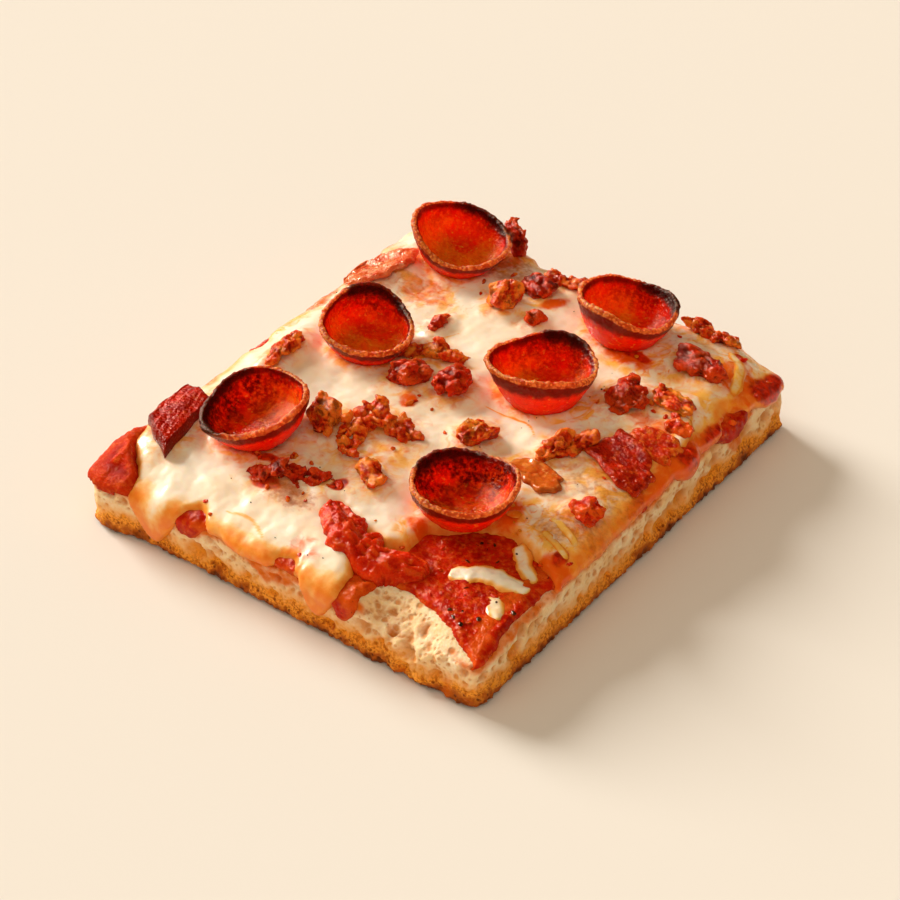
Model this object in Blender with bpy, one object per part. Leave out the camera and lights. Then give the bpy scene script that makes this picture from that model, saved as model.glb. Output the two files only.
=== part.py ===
"""A rectangular slice of thick-crust pepperoni pizza, resting on its underside.

+Z is up, X runs along the shorter cut side and Y along the longer one, and the origin is the middle of the
underside. Lengths are in millimetres until finish() scales each mesh to metres.

The layers share one sheet of places (u, v): inside the slice they are x and y, and past its edge the sheet
bends over the crust and hangs down its side. A layer is that sheet between two heights above the crust.
"""

import math
from dataclasses import dataclass

import bmesh
import bpy
from mathutils import Matrix, Vector, noise
from mathutils.bvhtree import BVHTree

MM = 0.001

# The slice as a whole.
SLICE_X = 125.0
SLICE_Y = 145.0
CORNER_RADIUS = 3.4
EDGE_RADIUS = 2.0
CELL_X, CELL_Y = 6.1, 7.3
MOST_SNAP, LEAST_SLOPE = 0.45, 0.3
GAP = 0.35
BEND_GAP = 0.35
HANG_LINES = (1.5, 3.1, 6.5, 10.0, 13.0)

# Crust.
CRUST_HEIGHT = 16.4
CRUST_BACK_RISE = 1.3
CRUST_WAVE, CRUST_WAVE_LENGTH = 0.5, 50.0
CRUST_HUMPS = (
    (62, -72, 15, -2.3),
    (62, 72, 17, -3.4),
    (-62, -74, 10, -0.6),
    (-65, -57, 14, 3.4),
    (-60, -4, 32, 2.3),
    (64, 20, 15, 2.2),
)
TORN = ((22, -90), (25, -61.5), (33, -60.5), (42, -62.5), (51, -66), (60.5, -70.5), (61.5, -90))
TORN_DROP, TORN_RUN = 5.5, 10.0
BASE_RINGS = ((1.6, 0.0), (0.0, 1.0))
SIDE_WAVE, SIDE_WAVE_LENGTH = 0.5, 30.0

# Sauce.
SAUCE = 1.3
SAUCE_OVERHANG = 1.5
SAUCE_RUNS = ((21, -72, 6, 7.5), (-31, -72, 8, 5), (62, -52, 16, 1.5), (62, 47, 7, 4), (-62, -6, 9, 3))

# Cheese.
CHEESE = 3.7
CHEESE_EDGE = 0.9
CHEESE_SIDE = 1.5
CHEESE_WAVE, CHEESE_WAVE_LENGTH = 0.8, 19.0
CHEESE_LEAST = 0.4
CHEESE_ROUND = 5.0
CHEESE_OVERHANG = 1.5
CHEESE_HUMPS = (
    (-50, -30, 26, 0.9),
    (-8, 36, 24, 1.3),
    (30, 55, 26, 1.0),
    (-52, 55, 22, 1.2),
    (4, -44, 17, 0.8),
)
CHEESE_RUNS = (
    (-44, -72, 8, 11.0),
    (-31, -72, 7, -3.5),
    (-9, -72, 13, 1.5),
    (14, -72, 6, 10.0),
    (62, -22, 14, 6.5),
    (62, 30, 8, 4.0),
    (62, 47, 7, -2.5),
    (62, 62, 9, 2.0),
    (40, 72, 10, 5.0),
    (6, 72, 12, 3.0),
    (-30, 72, 9, 7.5),
    (-62, 58, 10, 6.0),
    (-62, 22, 9, 3.0),
    (-62, -6, 8, -2.0),
    (-62, -34, 13, 8.0),
)
BARE_CORNER = (
    (-2, -50), (7, -52), (19, -53), (24, -50), (24, -42), (36, -32), (43, -30), (60, -37),
    (80, -41), (80, -90), (19, -90), (16.5, -66), (12, -61), (4, -53),
)
BARE_NOTCH = ((-4, -90), (-3, -70), (0, -65), (4, -64), (7, -69), (8, -90))
BARE_LEFT_CORNER = ((-80, -90), (-80, -47), (-63, -48), (-60, -60), (-51, -69), (-50, -90))


@dataclass(frozen=True)
class Cup:
    """A pepperoni slice curled into a cup: the rim's middle, its sizes, and the way it leans."""

    x: float
    y: float
    rim: float
    base: float
    height: float
    lean: float
    towards: float


@dataclass(frozen=True)
class Slice:
    """A thin slice that lies on what is under it."""

    name: str
    x: float
    y: float
    length: float
    width: float
    thickness: float
    turn: float
    curl: float


@dataclass(frozen=True)
class Lump:
    """A roundish lump of sausage, bacon or tomato."""

    name: str
    x: float
    y: float
    length: float
    width: float
    height: float
    turn: float


@dataclass(frozen=True)
class Strip:
    """A rasher or shred laid along a path, arched between its ends."""

    name: str
    path: tuple
    width: float
    thickness: float
    arch: float


CUP_WALL = 1.7
CUP_FLOOR = 0.5
CUP_SLANT = 0.62
CUP_SINK, CUP_SINK_MARGIN = 2.4, 8.0
CUP_SIDES = 16
CUP_RIM_WAVES = ((2, 1.0, 0.9), (3, 2.3, 0.6))
CUP_SPREAD = 0.045
CUPS = (
    Cup(-38.5, 57.4, 14.3, 9.8, 10.5, 15, -6),
    Cup(-34.3, 8.6, 13.5, 9.5, 10.0, 12, -20),
    Cup(-35.6, -38.9, 14.9, 10.0, 10.5, 12, -140),
    Cup(15.9, 20.4, 14.6, 10.2, 12.5, 4, 110),
    Cup(19.6, 56.2, 14.0, 9.8, 11.5, 9, 62),
    Cup(28.2, -31.8, 14.8, 9.4, 11.0, 4, 110),
)
SLICES = (
    Slice("pepperoni_back_left", -55, 39.6, 21, 14, 1.8, 62, 1.0),
    Slice("pepperoni_under_cheese", 36.5, -11, 16, 9, 2.0, -8, 1.0),
    Slice("salami_wedge", -54.5, -45.5, 24, 13, 4.6, 104, 0.0),
    Slice("bacon_rasher_right", 51.4, 6.6, 20, 11.5, 2.4, -22, 1.4),
    Slice("bacon_rasher_edge", 54.2, 17.6, 14, 8, 2.2, -5, 0.8),
)
SLICE_SIDES = 12
SLICE_WAVES = ((2, 1.0, 0.10), (3, 2.1, 0.07))
CORNER_SLICE = Slice("pepperoni_left_corner", -55, -59.5, 27, 27, 1.9, 0, 3.6)
CORNER_OVERHANG = 5.0
LUMP_KNOBS, LUMP_KNOB_SIZE = 0.55, 1.4
LUMP_FLAT = 0.55
LUMPS = (
    Lump("bacon_left_edge", -49.2, -10, 15, 6, 4.5, 92),
    Lump("pepperoni_behind_cup", -29.5, 71.6, 9.5, 5.0, 12.0, -20),
    Lump("sausage_back_1", -15, 46.5, 10, 9.5, 8.0, 40),
    Lump("sausage_back_2", -11.5, 56.8, 11, 8, 6.0, -6),
    Lump("sausage_middle_1", -15.5, 3.2, 12, 9.5, 7.0, 47),
    Lump("sausage_middle_2", -3.0, 6.0, 10.5, 12.5, 7.0, 1),
    Lump("sausage_by_cup", 14.3, -6.7, 10, 9, 6.5, 74),
    Lump("bacon_small_front", -21.8, -26.4, 14, 8.8, 7.5, -60),
    Lump("sausage_front", 2.4, -38, 11, 7, 5.5, -40),
    Lump("sausage_right_1", 38, 28.2, 13, 12, 7.0, 77),
    Lump("sausage_right_2", 48.6, 34.9, 14, 8, 5.0, -14),
    Lump("tomato_edge_right", 55, 26.8, 9, 5.5, 4.0, -10),
    Lump("bacon_right_back", 45.5, 51.8, 17, 10, 6.5, -12),
    Lump("tomato_right", 55.8, -15.6, 9, 8.5, 6.5, 7),
    Lump("sausage_beside_cup", -3.4, 43.5, 6, 5, 4.5, 75),
    Lump("sausage_behind_cup", -24.6, 27.8, 8, 4.5, 4.0, 105),
)
STRIPS = (
    Strip("bacon_back_edge", ((-11.8, 63.5), (-6, 65.6), (-0.7, 66)), 6.5, 3.6, 2.0),
    Strip("bacon_shred_middle", ((-24.5, 12), (-17, 15.5), (-9.5, 17.6)), 5.0, 3.6, 1.5),
    Strip("bacon_curl_front", ((-7, -34.5), (-12, -26), (-10, -17.5), (1.5, -17.5)), 7.0, 4.2, 3.4),
    Strip("bacon_wet_front", ((-24.5, -53), (-16, -49.5), (-7, -45.5)), 9.0, 4.0, 1.0),
    Strip("bacon_curl_right", ((33, -4), (37, 2), (41, 8)), 8.0, 4.4, 2.6),
    Strip("bacon_far_edge", ((31, 70.6), (38.5, 70.2), (46.5, 69)), 5.4, 4.0, 2.2),
    Strip("tomato_fold", ((1.5, -51.5), (11, -56.4), (22, -59.2), (34, -53.6)), 10.5, 4.6, 3.0),
    Strip("cheese_shred_long", ((37.3, -51), (46, -45.6), (58.5, -44.2)), 6.0, 2.8, 0.8),
    Strip("cheese_shred_short", ((51.6, -50.2), (55, -54.5), (58.2, -58)), 4.4, 2.0, 0.4),
)
STRIP_CELLS = (6, 3)
STRIP_TIP = 0.45
STRIP_WAVE = 0.22
STRIP_CROWN = 0.9
DRAPE_REACH = 2.2
TONE = {
    "pepperoni": ((0.48, 0.07, 0.03), 0.3),
    "salami": ((0.30, 0.04, 0.03), 0.35),
    "bacon": ((0.38, 0.09, 0.035), 0.35),
    "sausage": ((0.33, 0.08, 0.035), 0.45),
    "tomato": ((0.42, 0.03, 0.015), 0.25),
    "cheese": ((0.86, 0.72, 0.48), 0.3),
    "sauce": ((0.45, 0.04, 0.01), 0.25),
    "crust": ((0.75, 0.50, 0.24), 0.7),
}


def smooth_step(low, high, value):
    """0 at low, 1 at high, and smooth between, whichever of the two is greater."""
    t = min(max((value - low) / (high - low), 0.0), 1.0)
    return t * t * (3 - 2 * t)


def bell(distance, radius):
    """1 at the middle and 0 from the radius on."""
    return max(0.0, 1 - (distance / radius) ** 2) ** 2


def wave(x, y, length, seed):
    """Smooth unevenness between -1 and 1 with the given wavelength."""
    return noise.noise(Vector((x / length, y / length, seed)))


def humps(x, y, table):
    """The sum of round humps given as x, y, radius and rise."""
    return sum(rise * bell(math.hypot(x - hx, y - hy), radius) for hx, hy, radius, rise in table)


def past_edge(u, v):
    """How far (u, v) is past the line where the top starts to bend, with its nearest point and normal."""
    corner = CORNER_RADIUS - EDGE_RADIUS
    half_x, half_y = SLICE_X / 2 - EDGE_RADIUS, SLICE_Y / 2 - EDGE_RADIUS
    side_x, side_y = math.copysign(1, u), math.copysign(1, v)
    over_x, over_y = abs(u) - (half_x - corner), abs(v) - (half_y - corner)
    if over_x > 0 and over_y > 0:
        far = math.hypot(over_x, over_y)
        normal = Vector((side_x * over_x / far, side_y * over_y / far))
        centre = Vector((side_x * (half_x - corner), side_y * (half_y - corner)))
        return far - corner, centre + normal * corner, normal
    if over_x > over_y:
        return over_x - corner, Vector((side_x * half_x, v)), Vector((side_x, 0))
    return over_y - corner, Vector((u, side_y * half_y)), Vector((0, side_y))


def outside(x, y, outline):
    """Distance from (x, y) to a closed outline, negative inside it."""
    nearest, inside = math.inf, False
    for (ax, ay), (bx, by) in zip(outline, outline[1:] + outline[:1]):
        ex, ey = bx - ax, by - ay
        along = min(max(((x - ax) * ex + (y - ay) * ey) / (ex * ex + ey * ey), 0.0), 1.0)
        nearest = min(nearest, math.hypot(x - ax - along * ex, y - ay - along * ey))
        if (ay > y) != (by > y) and x < ax + (y - ay) * ex / ey:
            inside = not inside
    return -nearest if inside else nearest


def torn(x, y):
    """How much of the front edge's crumb is torn away at (x, y), from 0 to 1."""
    return smooth_step(0, TORN_RUN, -outside(x, y, TORN))


def crust_height(x, y):
    """Height of the crust's top at (x, y)."""
    level = CRUST_HEIGHT + CRUST_BACK_RISE * y / (SLICE_Y / 2) + humps(x, y, CRUST_HUMPS)
    return level + CRUST_WAVE * wave(x, y, CRUST_WAVE_LENGTH, 1.5) - TORN_DROP * torn(x, y)


def wrap(u, v, lift):
    """The point that lies lift above the crust at (u, v), bent down the side where that is past the edge."""
    past, edge, normal = past_edge(u, v)
    if past <= 0:
        return Vector((u, v, crust_height(u, v) + lift))
    angle = min(past / EDGE_RADIUS, math.pi / 2)
    drop = max(0.0, past - EDGE_RADIUS * math.pi / 2)
    bulge = SIDE_WAVE * wave(edge.x, edge.y, SIDE_WAVE_LENGTH, 4.5)
    out = (EDGE_RADIUS + lift + bulge) * math.sin(angle)
    z = crust_height(edge.x, edge.y) - EDGE_RADIUS + (EDGE_RADIUS + lift) * math.cos(angle) - drop
    return Vector((edge.x + normal.x * out, edge.y + normal.y * out, z))


def gap_at(u, v):
    """The air between two layers: wider over the bend, whose facets cut the corner."""
    return GAP + BEND_GAP * smooth_step(-3, 0, past_edge(u, v)[0])


def overhang(u, v, level, runs):
    """How far a layer runs on past the bend line near (u, v)."""
    edge = past_edge(u, v)[1]
    return level + humps(edge.x, edge.y, runs)


def sauce_cover(u, v):
    """Distance from (u, v) into the sauce from its outline, negative where there is none."""
    inside = overhang(u, v, SAUCE_OVERHANG, SAUCE_RUNS) - past_edge(u, v)[0]
    return min(inside, outside(u, v, TORN))


def sauce_top(u, v):
    """Height of the sauce above the crust, falling away past its outline."""
    return gap_at(u, v) + SAUCE * smooth_step(-3, 3, sauce_cover(u, v))


def cheese_cover(u, v):
    """Distance from (u, v) into the cheese from its outline, negative where there is none."""
    inside = overhang(u, v, CHEESE_OVERHANG, CHEESE_RUNS) - past_edge(u, v)[0]
    return min(inside, *(outside(u, v, line) for line in (BARE_CORNER, BARE_NOTCH, BARE_LEFT_CORNER)))


def cheese_low(u, v):
    """Height of the cheese's underside above the crust."""
    return gap_at(u, v) + sauce_top(u, v)


def cheese_top(u, v):
    """Height of the cheese's top above the crust."""
    full = CHEESE + CHEESE_WAVE * wave(u, v, CHEESE_WAVE_LENGTH, 2.5) + humps(u, v, CHEESE_HUMPS)
    full -= humps(u, v, [(cup.x, cup.y, cup.base + CUP_SINK_MARGIN, CUP_SINK) for cup in CUPS])
    full += (CHEESE_SIDE - full) * smooth_step(-8, 2, past_edge(u, v)[0])
    rounded = 1 - (1 - min(max(cheese_cover(u, v) / CHEESE_ROUND, 0), 1)) ** 2
    return cheese_low(u, v) + CHEESE_EDGE + max(full - CHEESE_EDGE, CHEESE_LEAST) * math.sqrt(rounded)


def sheet_lines(half, cell):
    """The sheet's grid lines along one axis: even inside the bend line, then by HANG_LINES past it."""
    cells = round(2 * half / cell)
    inner = [half * (2 * step / cells - 1) for step in range(cells + 1)]
    return [-half - far for far in reversed(HANG_LINES)] + inner + [half + far for far in HANG_LINES]


def sheet_grid():
    """A flat bmesh grid whose vertices lie at the sheet's (u, v) lines."""
    us = sheet_lines(SLICE_X / 2 - EDGE_RADIUS, CELL_X)
    vs = sheet_lines(SLICE_Y / 2 - EDGE_RADIUS, CELL_Y)
    bm = bmesh.new()
    bmesh.ops.create_grid(bm, x_segments=len(us) - 1, y_segments=len(vs) - 1, size=1.0)
    for vert in bm.verts:
        column = round((vert.co.x + 1) / 2 * (len(us) - 1))
        row = round((vert.co.y + 1) / 2 * (len(vs) - 1))
        vert.co = (us[column], vs[row], 0)
    return bm


def keep_covered(bm, cover):
    """Delete the cells outside the outline, and those that hang on by a corner only."""
    out = [face for face in bm.faces if cover(*face.calc_center_median().xy) < 0]
    while out:
        bmesh.ops.delete(bm, geom=out, context="FACES")
        pinched = [vert for vert in bm.verts if sum(edge.is_boundary for edge in vert.link_edges) > 2]
        outer = {min(v.link_faces, key=lambda f: cover(*f.calc_center_median().xy)) for v in pinched}
        out = list(outer)


def snap_to_outline(bm, cover):
    """Move the sheet's boundary towards the line where cover is 0, by less than half a cell."""
    step = 0.5
    rim = [vert for vert in bm.verts if vert.is_boundary]
    limits = [MOST_SNAP * min(edge.calc_length() for edge in vert.link_edges) for vert in rim]
    for vert, limit in zip(rim, limits):
        u, v = vert.co.xy
        here = cover(u, v)
        slope = Vector((cover(u + step, v) - here, cover(u, v + step) - here)) / step
        if slope.length < LEAST_SLOPE:
            continue
        move = slope * (-here / slope.length_squared)
        if move.length > limit:
            move *= limit / move.length
        vert.co.x += move.x
        vert.co.y += move.y


def thicken(bm, low, top):
    """Close a flat sheet into a layer between the heights low and top, and lay it over the crust."""
    made = bmesh.ops.extrude_face_region(bm, geom=bm.faces[:])["geom"]
    raised = {item for item in made if isinstance(item, bmesh.types.BMVert)}
    for vert in bm.verts:
        u, v = vert.co.xy
        vert.co = wrap(u, v, (top if vert in raised else low)(u, v))


def make_layer(cover, low, top):
    """A closed layer that follows the crust inside the outline given by cover."""
    bm = sheet_grid()
    keep_covered(bm, cover)
    snap_to_outline(bm, cover)
    thicken(bm, low, top)
    return bm


def make_crust():
    """The bread: the sheet's surface, with sides drawn down from it to a flat underside."""
    bm = sheet_grid()
    reach = (HANG_LINES[1] + HANG_LINES[2]) / 2
    reach_x, reach_y = SLICE_X / 2 - EDGE_RADIUS + reach, SLICE_Y / 2 - EDGE_RADIUS + reach
    beyond = [vert for vert in bm.verts if abs(vert.co.x) > reach_x or abs(vert.co.y) > reach_y]
    bmesh.ops.delete(bm, geom=beyond, context="VERTS")
    outward = bm.verts.layers.float_vector.new("outward")
    for vert in bm.verts:
        u, v = vert.co.xy
        vert[outward] = past_edge(u, v)[2].to_3d()
        vert.co = wrap(u, v, 0)
    ring = [edge for edge in bm.edges if edge.is_boundary]
    for z, inset in BASE_RINGS:
        made = bmesh.ops.extrude_edge_only(bm, edges=ring)["geom"]
        ring = [item for item in made if isinstance(item, bmesh.types.BMEdge)]
        for vert in {vert for edge in ring for vert in edge.verts}:
            vert.co -= vert[outward] * inset
            vert.co.z = z
    bmesh.ops.contextual_create(bm, geom=ring)
    return bm


def ground_under(layers):
    """A function that gives the height of the layers at (x, y)."""
    trees = [BVHTree.FromBMesh(bm) for bm in layers]

    def ground(x, y):
        hits = [tree.ray_cast(Vector((x, y, 200)), Vector((0, 0, -1)))[0] for tree in trees]
        return max((hit.z for hit in hits if hit), default=0.0)

    return ground


def highest_near(ground, x, y):
    """The greatest height of the ground round (x, y)."""
    turns = [turn * math.pi / 3 for turn in range(6)]
    ring = [(x + DRAPE_REACH * math.cos(turn), y + DRAPE_REACH * math.sin(turn)) for turn in turns]
    return max(ground(*place) for place in [(x, y), *ring])


def settle(bm, ground):
    """Lower or lift a stiff piece until its lowest approach to the ground is the gap."""
    places = [vert.co for vert in bm.verts] + [face.calc_center_median() for face in bm.faces]
    lift = max(ground(place.x, place.y) - place.z for place in places) + GAP
    bmesh.ops.translate(bm, verts=bm.verts, vec=(0, 0, lift))


def drape(bm, ground):
    """Lay a soft piece, made over z = 0, on the ground so that each point keeps its height above it."""
    for vert in bm.verts:
        vert.co.z += highest_near(ground, vert.co.x, vert.co.y) + GAP


def cup_profile(cup):
    """The cup's section as (radius, z) points, from its underside's middle round the rim to its floor."""
    lip = cup.height - CUP_WALL / 2
    waist = cup.base + (cup.rim - cup.base) * CUP_SLANT
    heel = CUP_FLOOR + CUP_WALL / 2
    outer = ((0, CUP_FLOOR), (cup.base * 0.75, 0), (cup.base, heel), (waist, cup.height / 2), (cup.rim, lip))
    inner = (
        (cup.rim - CUP_WALL, lip),
        (waist - CUP_WALL, cup.height / 2),
        (cup.base - CUP_WALL, heel + CUP_WALL),
        (0, CUP_FLOOR + CUP_WALL),
    )
    return (*outer, (cup.rim - CUP_WALL / 2, cup.height), *inner)


def waves(turn, seed, table):
    """The sum of sine waves round a rim, given as count, phase and height."""
    return sum(height * math.sin(count * turn + phase * seed) for count, phase, height in table)


def make_cup(cup, seed, ground):
    """A slice curled up into a cup by the heat, uneven round its rim."""
    bm = bmesh.new()
    line = [bm.verts.new((radius, 0, z)) for radius, z in cup_profile(cup)]
    ends = [bm.edges.new(pair) for pair in zip(line, line[1:])]
    bmesh.ops.spin(
        bm, geom=line + ends, axis=(0, 0, 1), cent=(0, 0, 0), angle=math.tau, steps=CUP_SIDES, use_merge=True
    )
    bmesh.ops.remove_doubles(bm, verts=bm.verts, dist=0.01)
    for vert in bm.verts:
        turn = math.atan2(vert.co.y, vert.co.x)
        high = (vert.co.z / cup.height) ** 2
        vert.co.z += high * waves(turn, seed, CUP_RIM_WAVES)
        vert.co.xy *= 1 + CUP_SPREAD * high * math.sin(2 * turn + 1.7 * seed)
    way = math.radians(cup.towards)
    lean = Matrix.Rotation(math.radians(cup.lean), 3, Vector((-math.sin(way), math.cos(way), 0)))
    bmesh.ops.rotate(bm, verts=bm.verts, cent=(0, 0, 0), matrix=lean)
    shift = math.sin(math.radians(cup.lean)) * cup.height
    place = (cup.x - shift * math.cos(way), cup.y - shift * math.sin(way), 0)
    bmesh.ops.translate(bm, verts=bm.verts, vec=place)
    settle(bm, ground)
    return bm


def make_disc(piece, seed):
    """A flat uneven disc in the plane z = 0, as wide and long as the piece, at its place."""
    bm = bmesh.new()
    bmesh.ops.create_circle(bm, cap_ends=True, cap_tris=True, segments=SLICE_SIDES, radius=1.0)
    spokes = [edge for edge in bm.edges if not edge.is_boundary]
    bmesh.ops.subdivide_edges(bm, edges=spokes, cuts=1)
    turned = Matrix.Rotation(math.radians(piece.turn), 3, "Z")
    for vert in bm.verts:
        uneven = 1 + waves(math.atan2(vert.co.y, vert.co.x), seed, SLICE_WAVES)
        flat = Vector((vert.co.x * uneven * piece.length / 2, vert.co.y * uneven * piece.width / 2, 0))
        vert.co = turned @ flat + Vector((piece.x, piece.y, 0))
    return bm


def make_slice(piece, seed, ground):
    """A thin slice with a curled-up edge, laid on the ground."""
    bm = make_disc(piece, seed)
    middle = Vector((piece.x, piece.y))
    reach = max((vert.co.xy - middle).length for vert in bm.verts)
    made = bmesh.ops.extrude_face_region(bm, geom=bm.faces[:])["geom"]
    raised = {item for item in made if isinstance(item, bmesh.types.BMVert)}
    for vert in bm.verts:
        vert.co.z = piece.curl * ((vert.co.xy - middle).length / reach) ** 2
        if vert in raised:
            vert.co.z += piece.thickness
    drape(bm, ground)
    return bm


def make_corner_slice(piece):
    """A slice that lies on the sauce at the pizza's corner, hangs over it and bulges up beside the cheese."""

    def cover(u, v):
        disc = piece.length / 2 - math.hypot(u - piece.x, v - piece.y)
        return min(disc, -cheese_cover(u, v) - 2 * GAP, CORNER_OVERHANG - past_edge(u, v)[0])

    def low(u, v):
        return sauce_top(u, v) + gap_at(u, v) + piece.curl * smooth_step(1, -4, past_edge(u, v)[0])

    return make_layer(cover, low, lambda u, v: low(u, v) + piece.thickness)


def make_lump(piece, seed, ground):
    """A lump with knobbly sides and a flatter bottom."""
    bm = bmesh.new()
    bmesh.ops.create_icosphere(bm, subdivisions=2, radius=1.0)
    size = Vector((piece.length / 2, piece.width / 2, piece.height / 2))
    turned = Matrix.Rotation(math.radians(piece.turn), 3, "Z")
    for vert in bm.verts:
        knobs = noise.noise(vert.co * LUMP_KNOB_SIZE + Vector((seed * 3.1, seed * 1.7, 0)))
        point = vert.co * (1 + LUMP_KNOBS * knobs) * size
        point.z = max(point.z, -LUMP_FLAT * size.z)
        vert.co = turned @ point + Vector((piece.x, piece.y, 0))
    settle(bm, ground)
    return bm


def along_path(path, share):
    """The point and direction at a share of the way along a smooth curve through the path."""
    spans = len(path) - 1
    span = min(int(share * spans), spans - 1)
    t = share * spans - span
    points = [Vector(path[min(max(span + step, 0), spans)]) for step in (-1, 0, 1, 2)]
    a, b, c, d = points
    point = 0.5 * (2 * b + (c - a) * t + (2 * a - 5 * b + 4 * c - d) * t**2 + (3 * b - a - 3 * c + d) * t**3)
    slope = 0.5 * ((c - a) + 2 * (2 * a - 5 * b + 4 * c - d) * t + 3 * (3 * b - a - 3 * c + d) * t**2)
    return point, slope.normalized()


def make_strip(piece, seed, ground):
    """A strip laid along its path, narrower at its ends, crowned across and arched along."""
    bm = bmesh.new()
    bmesh.ops.create_grid(bm, x_segments=STRIP_CELLS[0], y_segments=STRIP_CELLS[1], size=1.0)
    made = bmesh.ops.extrude_face_region(bm, geom=bm.faces[:])["geom"]
    raised = {item for item in made if isinstance(item, bmesh.types.BMVert)}
    for vert in bm.verts:
        share, across = (vert.co.x + 1) / 2, vert.co.y
        point, slope = along_path(piece.path, share)
        middle = max(math.sin(math.pi * share), 0.0)
        taper = STRIP_TIP + (1 - STRIP_TIP) * middle**0.6
        uneven = 1 + STRIP_WAVE * noise.noise(Vector((share * 4, across, seed * 2.3)))
        half = piece.width / 2 * taper * uneven
        height = piece.arch * middle * (1 - across**2)
        if vert in raised:
            crown = STRIP_TIP + (1 - STRIP_TIP) * math.sqrt(1 - STRIP_CROWN * across**2)
            height += piece.thickness * crown * (1 + taper) / 2
        vert.co = (point.x - slope.y * half * across, point.y + slope.x * half * across, height)
    drape(bm, ground)
    return bm


def material(name):
    """The Principled material of a kind of piece."""
    colour, roughness = TONE[name]
    made = bpy.data.materials.get(name) or bpy.data.materials.new(name)
    made.use_nodes = True
    shader = made.node_tree.nodes["Principled BSDF"]
    shader.inputs["Base Color"].default_value = (*colour, 1)
    shader.inputs["Roughness"].default_value = roughness
    shader.inputs["Metallic"].default_value = 0.0
    return made


def finish(name, bm, tone, collection):
    """Turn a bmesh in millimetres into a named object in metres."""
    bmesh.ops.recalc_face_normals(bm, faces=bm.faces)
    bmesh.ops.scale(bm, vec=(MM, MM, MM), verts=bm.verts)
    mesh = bpy.data.meshes.new(name)
    bm.to_mesh(mesh)
    mesh.shade_smooth()
    mesh.set_sharp_from_angle(angle=math.radians(50))
    mesh.materials.append(material(tone))
    collection.objects.link(bpy.data.objects.new(name, mesh))


def main():
    """Build the slice from the bread up."""
    for old in list(bpy.data.objects):
        bpy.data.objects.remove(old, do_unlink=True)
    collection = bpy.data.collections.new("pepperoni_pizza_slice")
    bpy.context.scene.collection.children.link(collection)

    layers = {
        "crust": make_crust(),
        "sauce": make_layer(sauce_cover, gap_at, sauce_top),
        "cheese": make_layer(cheese_cover, cheese_low, cheese_top),
    }
    ground = ground_under(layers.values())
    pieces = {CORNER_SLICE.name: make_corner_slice(CORNER_SLICE)}
    for number, cup in enumerate(CUPS, 1):
        pieces[f"pepperoni_cup_{number}"] = make_cup(cup, number, ground)
    for makers, table in ((make_slice, SLICES), (make_lump, LUMPS), (make_strip, STRIPS)):
        for number, piece in enumerate(table, 1):
            pieces[piece.name] = makers(piece, number, ground)
    for name, bm in (layers | pieces).items():
        finish(name, bm, name.split("_")[0], collection)


main()
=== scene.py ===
"""Looks of a slice of thick-crust pizza: bread, sauce, melted cheese, cupped pepperoni, bacon and sausage.

Lengths are in millimetres until a piece becomes an object, in metres. The layers share one sheet of places
(u, v): inside the slice they are x and y, and past its edge the sheet bends over the bread and down its side.
"""

import logging
import math
from dataclasses import dataclass
from enum import Enum

import bmesh
import bpy
import numpy as np
from mathutils import Matrix, Vector, noise
from mathutils.bvhtree import BVHTree


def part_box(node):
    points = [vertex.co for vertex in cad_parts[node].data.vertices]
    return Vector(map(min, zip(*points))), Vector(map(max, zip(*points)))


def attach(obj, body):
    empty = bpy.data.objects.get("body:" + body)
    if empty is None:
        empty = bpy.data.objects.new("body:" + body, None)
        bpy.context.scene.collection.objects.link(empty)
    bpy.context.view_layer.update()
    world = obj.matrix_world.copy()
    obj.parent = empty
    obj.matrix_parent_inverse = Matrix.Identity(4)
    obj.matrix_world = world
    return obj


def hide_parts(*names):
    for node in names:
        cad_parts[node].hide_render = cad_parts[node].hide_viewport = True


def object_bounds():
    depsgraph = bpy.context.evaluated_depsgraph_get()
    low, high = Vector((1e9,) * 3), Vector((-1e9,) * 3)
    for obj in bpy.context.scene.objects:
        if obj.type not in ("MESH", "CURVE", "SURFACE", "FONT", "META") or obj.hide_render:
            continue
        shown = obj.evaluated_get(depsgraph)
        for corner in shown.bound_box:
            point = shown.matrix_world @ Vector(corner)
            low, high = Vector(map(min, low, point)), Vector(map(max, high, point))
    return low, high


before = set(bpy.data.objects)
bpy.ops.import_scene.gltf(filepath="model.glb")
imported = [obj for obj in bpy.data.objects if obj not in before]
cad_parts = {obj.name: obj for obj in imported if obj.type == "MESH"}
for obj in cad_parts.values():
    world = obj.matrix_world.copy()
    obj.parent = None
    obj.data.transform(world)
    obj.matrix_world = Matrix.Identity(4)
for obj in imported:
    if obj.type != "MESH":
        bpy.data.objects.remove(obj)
cad_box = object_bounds()

MM = 0.001
SEED_STEP = 17.31
GRADIENTS = np.array([
    (1, 1, 0), (-1, 1, 0), (1, -1, 0), (-1, -1, 0), (1, 0, 1), (-1, 0, 1), (1, 0, -1), (-1, 0, -1),
    (0, 1, 1), (0, -1, 1), (0, 1, -1), (0, -1, -1), (1, 1, 0), (-1, 1, 0), (0, -1, 1), (0, -1, -1),
], float)

Array = np.ndarray
log = logging.getLogger("pizza")


# Unevenness and marks.


def scramble(cell: Array, salt: int = 0) -> Array:
    """Turn whole-number cells into whole numbers that look random.

    Args:
        cell: Cell numbers, one row of three for each place.
        salt: A number that gives another outcome for the same cells.

    Returns:
        One number from 0 to 65535 for each row.
    """
    mixed = cell[:, 0] * 73856093 ^ cell[:, 1] * 19349663 ^ cell[:, 2] * 83492791 ^ (salt * 2654435 + 977)
    mixed = (mixed ^ (mixed >> 13)) * 1274126177
    return (mixed ^ (mixed >> 16)) & 65535


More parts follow.
